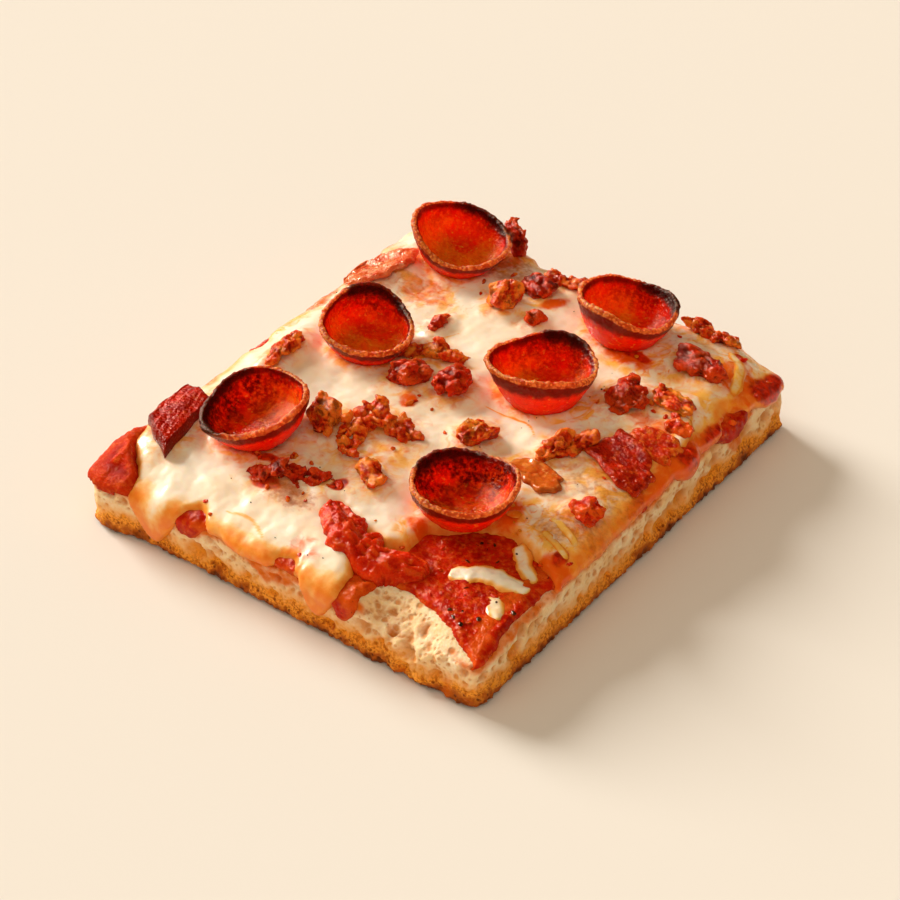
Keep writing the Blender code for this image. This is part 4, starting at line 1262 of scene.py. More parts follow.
@dataclass(frozen=True)
class CheeseLayer:
    """The melted cheese, with tongues that hang over the sides."""

    sauce: SauceLayer
    cell: float = 0.55
    beyond: float = 13.0
    thickness: float = 3.7
    edge: float = 0.9
    side: float = 1.15
    wave: float = 0.8
    rounding: float = 5.0
    overhang: float = 1.5
    cup_sink: float = 2.4
    cup_margin: float = 8.0
    humps: tuple = ((-50, -30, 26, 0.9), (-8, 36, 24, 1.3), (30, 55, 26, 1.0), (-52, 55, 22, 1.2), (4, -44, 17, 0.8))
    runs: tuple = (
        (-42, -72, 10, 11.5),
        (-29, -72, 6, -4.0),
        (-9, -72, 13, 1.5),
        (13, -72, 7, 9.0),
        (62, -22, 14, 0.6),
        (62, 21, 7, 5.0),
        (62, 45, 8, -3.0),
        (62, 62, 9, 2.0),
        (40, 72, 10, 5.0),
        (6, 72, 12, 3.0),
        (-30, 72, 9, 7.5),
        (-62, 58, 10, 6.0),
        (-62, 22, 9, 3.0),
        (-62, -6, 8, -2.0),
        (-62, -34, 13, 8.0),
    )
    bare_corner: tuple = (
        (2, -50), (9, -52), (19, -53), (24, -50), (24, -42), (36, -32), (43, -30), (60, -37),
        (80, -41), (80, -90), (20, -90), (18.5, -66), (15, -60), (9, -55),
    )
    bare_notch: tuple = ((-5, -90), (-4, -73), (-1, -69.5), (3, -69.5), (5, -72), (6, -90))
    bare_left_corner: tuple = ((-80, -90), (-80, -47), (-63, -48), (-60, -60), (-51, -69), (-50, -90))
    # Blot(2, -27) beside cup 6, and Blot(-36, 50), Blot(-20, 50), Blot(-9, 52) and Blot(-29, 65) between cup 1 and the
    # back edge, are partly thin cheese and partly painted shade cast by the cups and meats beside them.
    thin_marks: tuple = (
        Blot(-37, 39, 16, 9, 0, 0.6), Blot(-20, 50, 9, 6, 0, 0.4),
        Blot(52, -26, 22, 12, -8), Blot(61, -10, 9, 24, 0), Blot(56, 2, 14, 12, 0), Blot(61, 34, 10, 34, 0),
        Blot(57, 61, 12, 18, 20), Blot(36, 50, 18, 9, 10), Blot(31, 19, 7, 10, 0, 0.8), Blot(-26, -39, 7, 10, 20, 0.7),
        Blot(2, -27, 6, 12, 0, 0.6), Blot(-9, 52, 10, 8, 0, 0.6), Blot(-29, 65, 9, 8, 0), Blot(-36, 50, 8, 10, 0, 0.6),
        Blot(23, -46, 6, 4, 0), Blot(42, -24, 8, 6, 0), Blot(-54, -68, 12, 3, -40, 0.6), Blot(-14, -74, 16, 3, 0, 0.5),
        Blot(-60, 8, 5, 14, 0, 0.8), Blot(34, 67, 14, 8, 0, 0.7), Blot(60, -33, 12, 9, 0), Blot(48, 36, 14, 12, 0, 0.5),
    )
    # Blot(-28, 66) is partly oil and partly painted shade cast by the toppings near the back edge.
    oil_marks: tuple = (
        Blot(-63, -20, 3, 26, 0, 0.7), Blot(-62, 30, 4, 34, 0, 0.7), Blot(20, 73, 44, 3, 0, 0.6), Blot(64, 15, 4, 26, 0, 0.8),
        Blot(28, 47, 8, 4, 0, 0.9), Blot(39, -26, 4, 5, 0, 0.9), Blot(57, 57, 6, 9, 30, 0.8), Blot(-28, 66, 5, 5, 0, 0.8),
        Blot(24, -43, 5, 3, 0, 0.8), Blot(-13, -53, 6, 2, 0, 0.4), Blot(52, 24, 10, 5, 0, 0.7),
        Blot(3, -67, 6, 4, 0, 0.4), Blot(60, -36, 8, 5, 0, 0.9), Blot(-36, 39, 9, 6, 0, 0.5), Blot(-2, 55, 2.5, 5, -30, 0.9), Blot(-9, -5, 2.5, 3, 0, 0.9),
    )
    red_marks: tuple = (
        Blot(-26, -46, 6, 2, 8, 0.7), Blot(-3, -44, 2.2, 3, 0, 0.95), Blot(64, 38, 3, 9, 0, 0.8),
        Blot(63, 65, 4, 10, 0, 0.9), Blot(30, 48, 5, 2, 0, 0.8), Blot(59, -31, 2, 4, 0, 0.8),
        Blot(55, 4, 3, 9, 60, 0.8), Blot(62, 21, 3, 5, 0, 0.8), Blot(52, 65, 2.5, 2, 0, 0.7), Blot(-20, -54, 5, 2.5, 0, 0.8),
    )
    # Blot(-24, 62) is partly browning and partly painted shade cast by the toppings near the back edge.
    toast_marks: tuple = (
        Blot(-37, 39, 13, 7, 0, 0.3),
        Blot(55, -21, 12, 8, 0, 0.5), Blot(55, -4, 14, 8, 0, 0.35), Blot(-24, 62, 8, 8, 0, 0.6), Blot(62, -62, 4, 14, 0, 0.8),
        Blot(-10, -54, 8, 4, 0, 0.6), Blot(-60, 20, 3, 16, 0, 0.4), Blot(44, 60, 16, 10, 0, 0.25),
    )
    strands: tuple = (
        Stroke(((-19, 23), (-16, 28)), 1.0, 0.8), Stroke(((8, 6.5), (14, 6.2), (22, 6.4), (28, 2)), 1.0, 0.9),
        Stroke(((42, -18), (50, -22), (60, -25), (66, -26)), 1.3, 0.8), Stroke(((45, -27), (55, -29), (65, -31)), 1.2, 0.8),
        Stroke(((46, -33), (56, -36), (62, -40)), 1.3, 0.8), Stroke(((60, 10), (62, 0), (65, -10)), 1.2, 0.7),
        Stroke(((52, 63), (56, 58), (60, 54)), 1.2, 0.9), Stroke(((42, 70), (47, 67), (54, 60)), 1.0, 0.7),
        Stroke(((-58, -64), (-52, -68), (-46, -71)), 1.2, 0.7), Stroke(((-22, -67), (-14, -66), (-8, -69)), 1.5, 0.7),
        Stroke(((-56, 4), (-58, 9)), 1.0, 0.8), Stroke(((30, 12), (33, 18), (32, 24)), 1.2, 0.7),
    )

    def cover(self, u: Array, v: Array) -> Array:
        """Distance from each (u, v) into the cheese from its outline."""
        past, edge, _ = SLAB.past_edge(u, v)
        cover = self.overhang + humps(edge[:, 0], edge[:, 1], self.runs) - past
        for outline in (self.bare_corner, self.bare_notch, self.bare_left_corner):
            cover = np.minimum(cover, outside(u, v, outline))
        return cover + 0.7 * fractal(flat(u, v), 6.0, 21.0, 3)

    def top(self, u: Array, v: Array, cover: Array) -> Array:
        """Height of the cheese above the bread."""
        length = 19.0
        waves = np.array([noise.noise((pu / length, pv / length, 2.5)) for pu, pv in zip(u, v)])
        cups = tuple((cup.x, cup.y, cup.base + self.cup_margin, -self.cup_sink) for cup in CUPS)
        full = self.thickness + self.wave * waves + humps(u, v, self.humps) + humps(u, v, cups)
        past = SLAB.past_edge(u, v)[0]
        full += (self.side - full) * smooth_step(-9, 1, past)
        rounded = np.sqrt(np.clip(1 - (1 - np.clip(cover / (self.rounding + 2.5 * smooth_step(-6, 0, past)), 0, 1)) ** 2, 0, 1))
        low = self.sauce.gap_at(u, v) + self.sauce.top(u, v)
        thin = self.edge - 0.4 * smooth_step(-4, 1, past)
        return low + thin * smooth_step(-0.2, 1.2, cover) + np.maximum(full - thin, 0.4) * rounded

    @staticmethod
    def near_toppings(u: Array, v: Array) -> Array:
        """How near each (u, v) is to a topping that sits in the cheese, up to 1 at its outline."""
        total = np.zeros(len(u))
        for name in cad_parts:
            if name in ("crust", "sauce", "cheese") or name.startswith(("cheese_shred", "tomato_fold", "pepperoni_left", "pepperoni_cup")):
                continue
            low, high = (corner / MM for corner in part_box(name))
            middle, half = (low + high) / 2, (high - low) / 2
            apart = np.hypot((u - middle.x) / (half.x + 0.5), (v - middle.y) / (half.y + 0.5))
            total = np.maximum(total, smooth_step(1.9, 0.9, apart))
        return total

    def rises(self, u: Array, v: Array) -> Array:
        """How the cheese climbs against the toppings that sit in it."""
        total = 0.9 * self.near_toppings(u, v)
        for cup in CUPS:
            apart = np.hypot(u - cup.x, v - cup.y)
            total = np.maximum(total, 1.0 * smooth_step(cup.base + 5.0, cup.base + 0.5, apart) * smooth_step(cup.base - 4, cup.base - 1, apart))
        return total

    def melt(self) -> Dough:
        """The cheese as a smooth layer rooted in the bread, with its marks."""
        bm = sheet(self.cell, self.beyond)
        u, v = plan(bm)
        keep_where(bm, self.cover(u, v) + 1.3)
        u, v = plan(bm)
        cover = self.cover(u, v)
        places = flat(u, v)
        lift = self.top(u, v, cover) + self.rises(u, v) * smooth_step(0, 3, cover)
        folds = 0.6 * fractal(places, 9.0, 22.0, 2) + 0.14 * fractal(places, 2.4, 23.0, 2)
        lift += folds * smooth_step(0, 3, cover) - 2.2 * smooth_step(0.1, -1.3, cover)
        for vert, place in zip(bm.verts, SLAB.wrap(u, v, lift)):
            vert.co = place
        root_layer(bm, 5.0, 9.0)
        dough = Dough(bm)
        self.paint(dough, u, v, cover)
        dough.mark_relief(0.35, 10)
        return dough

    def paint(self, dough: Dough, u: Array, v: Array, cover: Array) -> None:
        """Keep the cheese's marks for its finish to read."""
        places = flat(u, v)
        rags = 0.35 * fractal(places, 7.0, 24.0, 3)
        halo = np.zeros(len(u))
        for cup in CUPS:
            apart = np.hypot(u - cup.x, v - cup.y)
            halo = np.maximum(halo, 0.75 * smooth_step(cup.rim + 1.0, cup.base + 0.5, apart))
        past = SLAB.past_edge(u, v)[0]
        near = self.near_toppings(u, v)
        border = smooth_step(3.0, 0.2, cover)
        hanging = smooth_step(-4.5, 2.5, past + 1.5 * rags) * smooth_step(13.5, 4.0, cover + 2.0 * rags)
        lines = marks(u, v, self.strands, rags)
        painted = {
            "edge": np.clip(np.maximum.reduce([0.9 * smooth_step(3.2, 0.1, cover + rags), hanging, lines]), 0, 1),
            # Near toppings the cheese is painted amber and oily: partly grease, partly painted shade beside them.
            "thin": np.maximum.reduce([marks(u, v, self.thin_marks, rags), 0.3 * border, halo, 0.6 * near]),
            "oil": np.maximum.reduce([marks(u, v, self.oil_marks, rags), 0.55 * halo, 0.3 * near]),
            "red": marks(u, v, self.red_marks, rags),
            "toast": marks(u, v, self.toast_marks, rags),
        }
        for name, values in painted.items():
            full = np.zeros(len(dough.mesh.vertices))
            full[: len(u)] = values
            dough.mark(name, full)


# The toppings.


@dataclass(frozen=True)
class PepperoniCup:
    """A pepperoni slice curled into a cup by the heat."""

    place: CupPlace
    wall: float = 1.7
    floor: float = 0.5
    slant: float = 0.62
    sides: int = 40
    sink: float = 0.9

    def profile(self) -> tuple:
        """The section as (radius, z) points, from the underside's middle round the rim to the floor."""
        rim, base, height, wall = self.place.rim, self.place.base, self.place.height, self.wall
        lip, heel, waist = height - wall / 2, self.floor + wall / 2, base + (rim - base) * self.slant
        return (
            (0.0, self.floor), (base * 0.4, self.floor * 0.5), (base * 0.75, 0.0), (base * 0.93, 0.3), (base, heel),
            (base + (waist - base) * 0.5, height * 0.3), (waist, height * 0.5), (rim - 0.6, height * 0.76), (rim, lip),
            (rim - wall * 0.15, height - 0.15), (rim - wall / 2, height + 0.1), (rim - wall * 0.9, height - 0.2),
            (rim - wall, lip - 0.4), (rim - 0.8 - wall, height * 0.74), (waist - wall, height * 0.5),
            (base - wall + (waist - base) * 0.4, height * 0.32), (base - wall, heel + wall), (base * 0.6, self.floor + wall),
            (base * 0.3, self.floor + wall), (0.0, self.floor + wall),
        )

    def spin(self) -> Dough:
        """The cup upright over the origin, with how far along its section each point is."""
        profile = self.profile()
        bm = bmesh.new()
        along = bm.verts.layers.float.new("along")
        line = [bm.verts.new((radius, 0, z)) for radius, z in profile]
        for index, vert in enumerate(line):
            vert[along] = index / (len(line) - 1)
        ends = [bm.edges.new(pair) for pair in zip(line, line[1:])]
        bmesh.ops.spin(
            bm, geom=line + ends, axis=(0, 0, 1), cent=(0, 0, 0), angle=math.tau, steps=self.sides, use_merge=True
        )
        bmesh.ops.remove_doubles(bm, verts=bm.verts, dist=0.01)
        bmesh.ops.recalc_face_normals(bm, faces=bm.faces)
        dough = Dough(bm)
        dough.subdivide(2)
        return dough

    def bake(self) -> bpy.types.Object:
        """Shape the rim, blister the wall, mark lip, char, painted glow and painted shade, lean the cup and set it in
        the cheese.
        """
        cup, dough = self.place, self.spin()
        places = dough.points
        along = dough.read("along")
        turn = np.arctan2(places[:, 1], places[:, 0])
        high = np.clip(places[:, 2] / cup.height, 0, 1) ** 2
        spread = 1 + high * (0.045 * np.sin(2 * turn + 1.7 * cup.seed) + self.sway(turn, cup.round_waves))
        rise = 0.9 * np.sin(2 * turn + cup.seed) + 0.6 * np.sin(3 * turn + 2.3 * cup.seed) + self.sway(turn, cup.rise_waves)
        places[:, :2] *= spread[:, None]
        places[:, 2] += high * rise
        dough.points = places
        inside = smooth_step(0.50, 0.60, along)
        lip = smooth_step(0.38, 0.44, along) * smooth_step(0.65, 0.58, along)
        inner_lip = smooth_step(0.50, 0.55, along) * smooth_step(0.68, 0.61, along)
        seeded = places + (cup.seed * 37.0, 0, 0)
        grains, _ = granules(seeded, 1.3, cup.seed)
        beads = smooth_step(0.6, 0.15, grains)
        swelling = 0.32 * fractal(seeded, 4.5, 31.0, 3) + lip * (0.28 * beads + 0.3 * fractal(seeded, 2.6, 33.0, 3))
        swelling += 0.12 * beads * (1 - lip)
        dough.swell(swelling)
        way = math.degrees(1) * turn
        off = np.abs((way - cup.char_at + 180) % 360 - 180)
        charred = smooth_step(cup.char_spread, cup.char_spread * 0.3, off + 25 * fractal(seeded, 5.0, 35.0, 2))
        near_rim = smooth_step(0.30, 0.45, along) * smooth_step(0.74, 0.60, along)
        uneven = along + 0.06 * fractal(seeded, 5.0, 38.0, 3)
        # Painted shade on the upper inner wall on the charred side, where the rim would shade it; murky patches are
        # darker meat.
        shaded = smooth_step(160, 10, off) * inside * smooth_step(cup.painted_shade_reach, 0.62, uneven)
        murky = smooth_step(-0.2, 0.15, fractal(seeded, 6.0, 37.0, 4)) * inside
        # Painted glow on the lower inner wall and floor, and low on the outer wall, standing in for light shining
        # through the meat.
        painted_glow = cup.painted_glow * inside * smooth_step(0.60, 0.78, along) * (1 - 0.6 * charred) + 0.25 * smooth_step(0.3, 0.12, along)
        dough.mark("lip", smooth_step(0.39, 0.44, along) * smooth_step(0.59, 0.53, along))
        dough.mark("band", np.maximum(smooth_step(0.30, 0.38, along) * smooth_step(0.46, 0.42, along), 0.8 * inner_lip))
        dough.mark("bead", 0.6 * beads * lip)
        # Murky patches and painted shade, kept as one mark.
        dough.mark("murk_and_painted_shade", np.clip(cup.murk_and_painted_shade * murky + (0.55 + cup.murk_and_painted_shade) * shaded, 0, 1))
        dough.mark("char", charred * near_rim)
        dough.mark("painted_glow", np.clip(painted_glow + 0.2 * fractal(seeded, 6.0, 36.0, 2) * inside, 0, 1))
        dough.points = self.lean(dough.points)
        node = f"pepperoni_cup_{cup.seed}"
        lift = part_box(node)[0].z / MM - dough.points[:, 2].min() - self.sink
        dough.points = dough.points + (0, 0, lift)
        return dough.serve(f"baked_cup_{cup.seed}", PEPPERONI, "pepperoni", (node,))

    @staticmethod
    def sway(turn: Array, table: tuple) -> Array:
        """The sum of waves round the rim, given as count, where the first crest is in degrees, and size."""
        return sum((size * np.cos(count * (turn - math.radians(crest))) for count, crest, size in table), np.zeros(len(turn)))

    def lean(self, places: Array) -> Array:
        """The places leaned over and moved so that the rim's middle is where it belongs."""
        cup = self.place
        way, tilt = math.radians(cup.towards), math.radians(cup.lean)
        forward = np.array((math.cos(way), math.sin(way), 0))
        ahead = places @ forward
        moved = places + forward * (ahead * (math.cos(tilt) - 1) + places[:, 2] * math.sin(tilt))[:, None]
        moved[:, 2] = places[:, 2] * math.cos(tilt) - ahead * math.sin(tilt)
        shift = math.sin(tilt) * cup.height
        return moved + (cup.x - shift * math.cos(way), cup.y - shift * math.sin(way), 0)


def heap(places: Array, sizes: Array, draw: np.random.Generator, turns: Array | None = None) -> Dough:
    """Grains of meat heaped up and merged into one skin.

    Args:
        places: Each grain's middle.
        sizes: Each grain's half sizes.
        draw: Where its random turns come from.
        turns: Each grain's turn about z, in radians, or none for any.

    Returns:
        The heap.
    """
    bm = bmesh.new()
    turns = draw.uniform(0, math.pi, len(places)) if turns is None else turns
    for place, size, turn in zip(places, sizes, turns):
        made = bmesh.ops.create_icosphere(bm, subdivisions=2, radius=1.0)["verts"]
        bmesh.ops.scale(bm, vec=size, verts=made)
        for axis, angle in (("X", draw.uniform(-0.6, 0.6)), ("Y", draw.uniform(-0.5, 0.5)), ("Z", turn)):
            bmesh.ops.rotate(bm, matrix=Matrix.Rotation(angle, 3, axis), verts=made)
        bmesh.ops.translate(bm, vec=place, verts=made)
    dough = Dough(bm)
    dough.remesh(0.34)
    for reach, size in ((0.9, 3.2), (0.35, 1.2)):
        places = dough.points
        pulls = (fractal(places + 50.0 * axis, size, 90.0 + axis, 2) for axis in range(3))
        dough.points = places + reach * np.column_stack(tuple(pulls))
    return dough


@dataclass(frozen=True)
class Crumble:
    """A crumbled lump of sausage, bacon or tomato, made of grains."""

    node: str
    length: float
    width: float
    height: float
    turn: float
    seed: int
    finish: Finish
    slot: str
    grain: float = 1.9
    count: int = 22
    char: float = 0.4
    fat: float = 0.3
    rough: float = 1.0
    sink: float = 0.9

    def cook(self, ground: Ground) -> bpy.types.Object:
        """Heap the grains in the node's space, roughen them, and set the piece on the cheese."""
        draw = np.random.default_rng(self.seed)
        half = np.array((self.length, self.width, self.height)) / 2
        ways = draw.normal(size=(self.count, 3))
        ways /= np.linalg.norm(ways, axis=1)[:, None]
        sizes = self.grain * draw.uniform(0.6, 1.35, (self.count, 3))
        uneven = 0.86 + 0.35 * fractal(ways * 3.0 + self.seed, 2.4, 40.0, 2)
        reach = np.sqrt(draw.uniform(0.15, 1.0, self.count)) * uneven
        places = ways * reach[:, None] * np.maximum(half - sizes * 0.8, 0.2)
        core = np.array([half * (0.55, 0.55, 0.6)])
        dough = heap(np.vstack((np.zeros((1, 3)), places)), np.vstack((core, sizes)), draw)
        seeded = dough.points + (0, 0, self.seed * 31.0)
        grains, pick = granules(seeded, 1.5, self.seed)
        dough.swell(self.rough * (0.12 * smooth_step(0.7, 0.1, grains) - 0.1 + 0.5 * fractal(seeded, 3.4, 41.0, 3, 0.5)))
        dough.swell(0.13 * fractal(dough.points + (0, 0, self.seed * 31.0), 1.0, 42.0, 2))
        places = dough.points
        low, high = places.min(0), places.max(0)
        places = (places - (low + high) / 2) * (2 * half * (1.1, 1.1, 1.0) / (high - low))
        way = math.radians(self.turn)
        turned = places @ np.array(((math.cos(way), math.sin(way), 0), (-math.sin(way), math.cos(way), 0), (0, 0, 1)))
        low, high = (np.array(corner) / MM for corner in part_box(self.node))
        placed = turned + (low + high) / 2
        height = places[:, 2] / self.height + 0.5
        fatty = smooth_step(-0.1, 0.25, fractal(seeded, 4.5, 45.0, 3) + 0.2 * (pick - 0.5))
        dough.mark("fat", np.clip((0.25 + self.fat) * fatty, 0, 1))
        dough.mark("char", self.char * smooth_step(0.05, 0.5, fractal(seeded, 3.0, 44.0, 3)) * smooth_step(0.1, 0.7, height))
        ground_here = ground.height(placed[:, 0], placed[:, 1])
        rim = np.percentile(placed[:, 2] - ground_here, 3)
        dough.points = placed - (0, 0, rim + self.sink)
        dough.mark_relief(0.22)
        return dough.serve(f"cooked_{self.node}", self.finish, self.slot, (self.node,))


@dataclass(frozen=True)
class Shred:
    """A ragged piece of bacon, made of flakes along a path."""

    node: str
    path: tuple
    width: float
    thickness: float
    seed: int
    finish: Finish = BACON
    slot: str = "bacon"
    count: int = 34
    char: float = 0.5
    fat: float = 0.7
    sink: float = 0.8

    def cook(self, ground: Ground) -> bpy.types.Object:
        """Scatter flakes along the path, merge and roughen them, and set the piece on the cheese."""
        draw = np.random.default_rng(100 + self.seed)
        shares = np.clip(np.linspace(0.04, 0.96, self.count) + draw.uniform(-0.03, 0.03, self.count), 0.02, 0.98)
        spots, slopes = along_path(self.path, shares)
        thin = np.clip(np.sin(np.pi * shares), 0.25, 1) ** 0.5
        wander = self.width * 0.36 * draw.uniform(-1, 1, self.count) * thin
        lift = self.thickness * (0.35 + 0.4 * draw.uniform(-1, 1, self.count) * thin)
        lift += self.thickness * 0.25 * np.sin(shares * 9.0 + self.seed)
        places = np.column_stack((spots[:, 0] - slopes[:, 1] * wander, spots[:, 1] + slopes[:, 0] * wander, lift))
        sizes = np.column_stack((draw.uniform(1.8, 3.4, self.count), draw.uniform(1.0, 1.9, self.count), draw.uniform(0.6, 1.2, self.count)))
        turns = np.arctan2(slopes[:, 1], slopes[:, 0]) + draw.uniform(-0.8, 0.8, self.count)
        dough = heap(places, sizes, draw, turns)
        seeded = dough.points + (0, 0, self.seed * 37.0)
        dough.swell(0.1 + 0.5 * fractal(seeded, 3.4, 71.0, 3, 0.5))
        dough.swell(0.13 * fractal(dough.points + (0, 0, self.seed * 37.0), 1.0, 72.0, 2))
        places = dough.points
        height = places[:, 2] / self.thickness
        dough.mark("fat", self.fat * smooth_step(0.0, 0.35, fractal(seeded, 4.0, 73.0, 3)))
        dough.mark("char", self.char * smooth_step(0.0, 0.5, fractal(seeded, 2.6, 75.0, 3)) * smooth_step(0.2, 0.9, height))
        under = ground.level(places[:, 0], places[:, 1], 3.0)
        under = np.maximum(under, np.median(under) - 1.2)
        dough.points = places + np.outer(under - self.sink, (0, 0, 1))
        dough.mark_relief(0.22)
        return dough.serve(f"cooked_{self.node}", self.finish, self.slot, (self.node,))


@dataclass(frozen=True)
class Rasher:
    """A strip laid along a path: bacon, a fold of tomato or a shred of cheese."""

    node: str
    path: tuple
    width: float
    thickness: float
    arch: float
    seed: int
    finish: Finish
    slot: str
    ruffle: float = 0.6
    streaks: float = 0.8
    char: float = 0.3
    tip: float = 0.45
    sink: float = 0.7
    amber: float = 0.0
    extra: bool = False

    def cook(self, ground: Ground) -> bpy.types.Object:
        """Lay the strip out, ruffle and roughen it, and drape it on what is under it."""
        length = sum(math.dist(start, end) for start, end in zip(self.path, self.path[1:]))
        cell = 0.42
        bm = bmesh.new()
        bmesh.ops.create_grid(bm, x_segments=round(length / cell), y_segments=round(self.width / cell), size=1.0)
        flat_count = len(bm.verts)
        bmesh.ops.extrude_face_region(bm, geom=bm.faces[:])
        dough = Dough(bm)
        grid = dough.points
        raised = np.arange(len(grid)) >= flat_count
        share, across = (grid[:, 0] + 1) / 2, grid[:, 1]
        seeded = np.column_stack((share * length, across * self.width / 2, np.full(len(grid), self.seed * 19.0)))
        place, slope = along_path(self.path, share)
        middle = np.clip(np.sin(math.pi * np.clip(share, 0, 1)), 0, 1)
        taper = self.tip + (1 - self.tip) * middle**0.6
        half = self.width / 2 * taper * (1 + 0.35 * fractal(seeded * (1, 0, 1), 5.0, 51.0, 3) * np.where(across > 0, 1, -1))
        half *= 1 + 0.12 * perlin(seeded * (1, 0, 1), 2.0, 52.0)
        x = place[:, 0] - slope[:, 1] * half * across
        y = place[:, 1] + slope[:, 0] * half * across
        ruffles = self.ruffle * fractal(seeded * (1, 0.6, 1), 5.5, 53.0, 3)
        z = self.arch * middle * (1 - across**2) + ruffles * middle
        crown = 0.25 + 0.75 * np.sqrt(np.clip(1 - 0.97 * across**2, 0, 1))
        lumps = 1 + 0.35 * fractal(seeded, 2.6, 54.0, 3)
        z += np.where(raised, self.thickness * crown * (1 + taper) / 2 * lumps, 0.0)
        ends = np.minimum(share, 1 - share) * length
        z -= np.where(raised, self.thickness * 0.6 * smooth_step(1.5, 0.0, ends), 0)
        z += ground.level(x, y, 2.5) - self.sink
        dough.points = np.column_stack((x, y, z))
        streak = perlin(seeded * (0.35, 1.6, 1), 2.2, 55.0) + 0.4 * perlin(seeded, 1.5, 56.0)
        dough.mark("fat", self.streaks * smooth_step(0.12, 0.4, streak) * raised)
        edge = smooth_step(0.55, 1.0, np.abs(across)) + smooth_step(1.6, 0.2, ends)
        dough.mark("char", self.char * np.clip(edge * (0.5 + fractal(seeded, 2.5, 57.0, 2)) * 1.2, 0, 1))
        dough.mark("thin", np.clip(0.4 * edge + 0.2 * streak + self.amber, 0, 1))
        dough.mark("edge", np.clip(smooth_step(0.25, 0.95, np.abs(across)) + smooth_step(2.5, 0.2, ends) + 0.55 * self.amber, 0, 1))
        dough.mark_relief(0.5)
        return dough.serve(f"cooked_{self.node}", self.finish, self.slot, () if self.extra else (self.node,))


@dataclass(frozen=True)
class ThinSlice:
    """A thin slice that lies on what is under it, round or cut to an outline."""

    node: str
    x: float
    y: float
    length: float
    width: float
    thickness: float
    turn: float
    curl: float
    seed: int
    finish: Finish
    slot: str
    squareness: float = 0.0
    fat: float = 0.3
    char: float = 0.2
    sink: float = 0.6

    def cook(self, ground: Ground) -> bpy.types.Object:
        """Cut the slice, curl and roughen it, and lay it down."""
        cells = round(self.length / 0.42)
        bm = bmesh.new()
        bmesh.ops.create_grid(bm, x_segments=cells, y_segments=cells, size=1.0)
        flat_count = len(bm.verts)
        bmesh.ops.extrude_face_region(bm, geom=bm.faces[:])
        dough = Dough(bm)
        grid = dough.points
        raised = np.arange(len(grid)) >= flat_count
        sx, sy = grid[:, 0], grid[:, 1]
        round_x, round_y = sx * np.sqrt(1 - sy**2 / 2), sy * np.sqrt(1 - sx**2 / 2)
        px = round_x + (sx - round_x) * self.squareness
        py = round_y + (sy - round_y) * self.squareness
        angle, radius = np.arctan2(round_y, round_x), np.hypot(round_x, round_y)
        uneven = 1 + 0.10 * np.sin(2 * angle + self.seed) + 0.07 * np.sin(3 * angle + 2.1 * self.seed)
        uneven += 0.05 * np.sin(7 * angle + self.seed) + 0.04 * np.sin(11 * angle)
        px, py = px * uneven * self.length / 2, py * uneven * self.width / 2
        way = math.radians(self.turn)
        x = self.x + px * math.cos(way) - py * math.sin(way)
        y = self.y + px * math.sin(way) + py * math.cos(way)
        seeded = np.column_stack((x, y, np.full(len(x), self.seed * 23.0)))
        rim = smooth_step(1.0, 0.8, radius)
        rolls = 0.5 * fractal(seeded, 6.0, 61.0, 2)
        grains, pick = granules(seeded, 1.6, self.seed)
        z = self.curl * radius**2 + rolls
        z += np.where(raised, self.thickness * (0.35 + 0.65 * np.sqrt(rim)) + 0.25 * smooth_step(0.7, 0.1, grains), 0)
        z += ground.level(x, y, 2.5) - self.sink
        dough.points = np.column_stack((x, y, z))
        dough.mark("fat", self.fat * smooth_step(0.75, 0.95, pick) * smooth_step(0.5, 0.2, grains))
        dough.mark("char", self.char * (1 - rim) + self.char * smooth_step(0.3, 0.7, fractal(seeded, 4.0, 62.0, 2)))
        dough.mark_relief(0.25)
        return dough.serve(f"cooked_{self.node}", self.finish, self.slot, (self.node,))


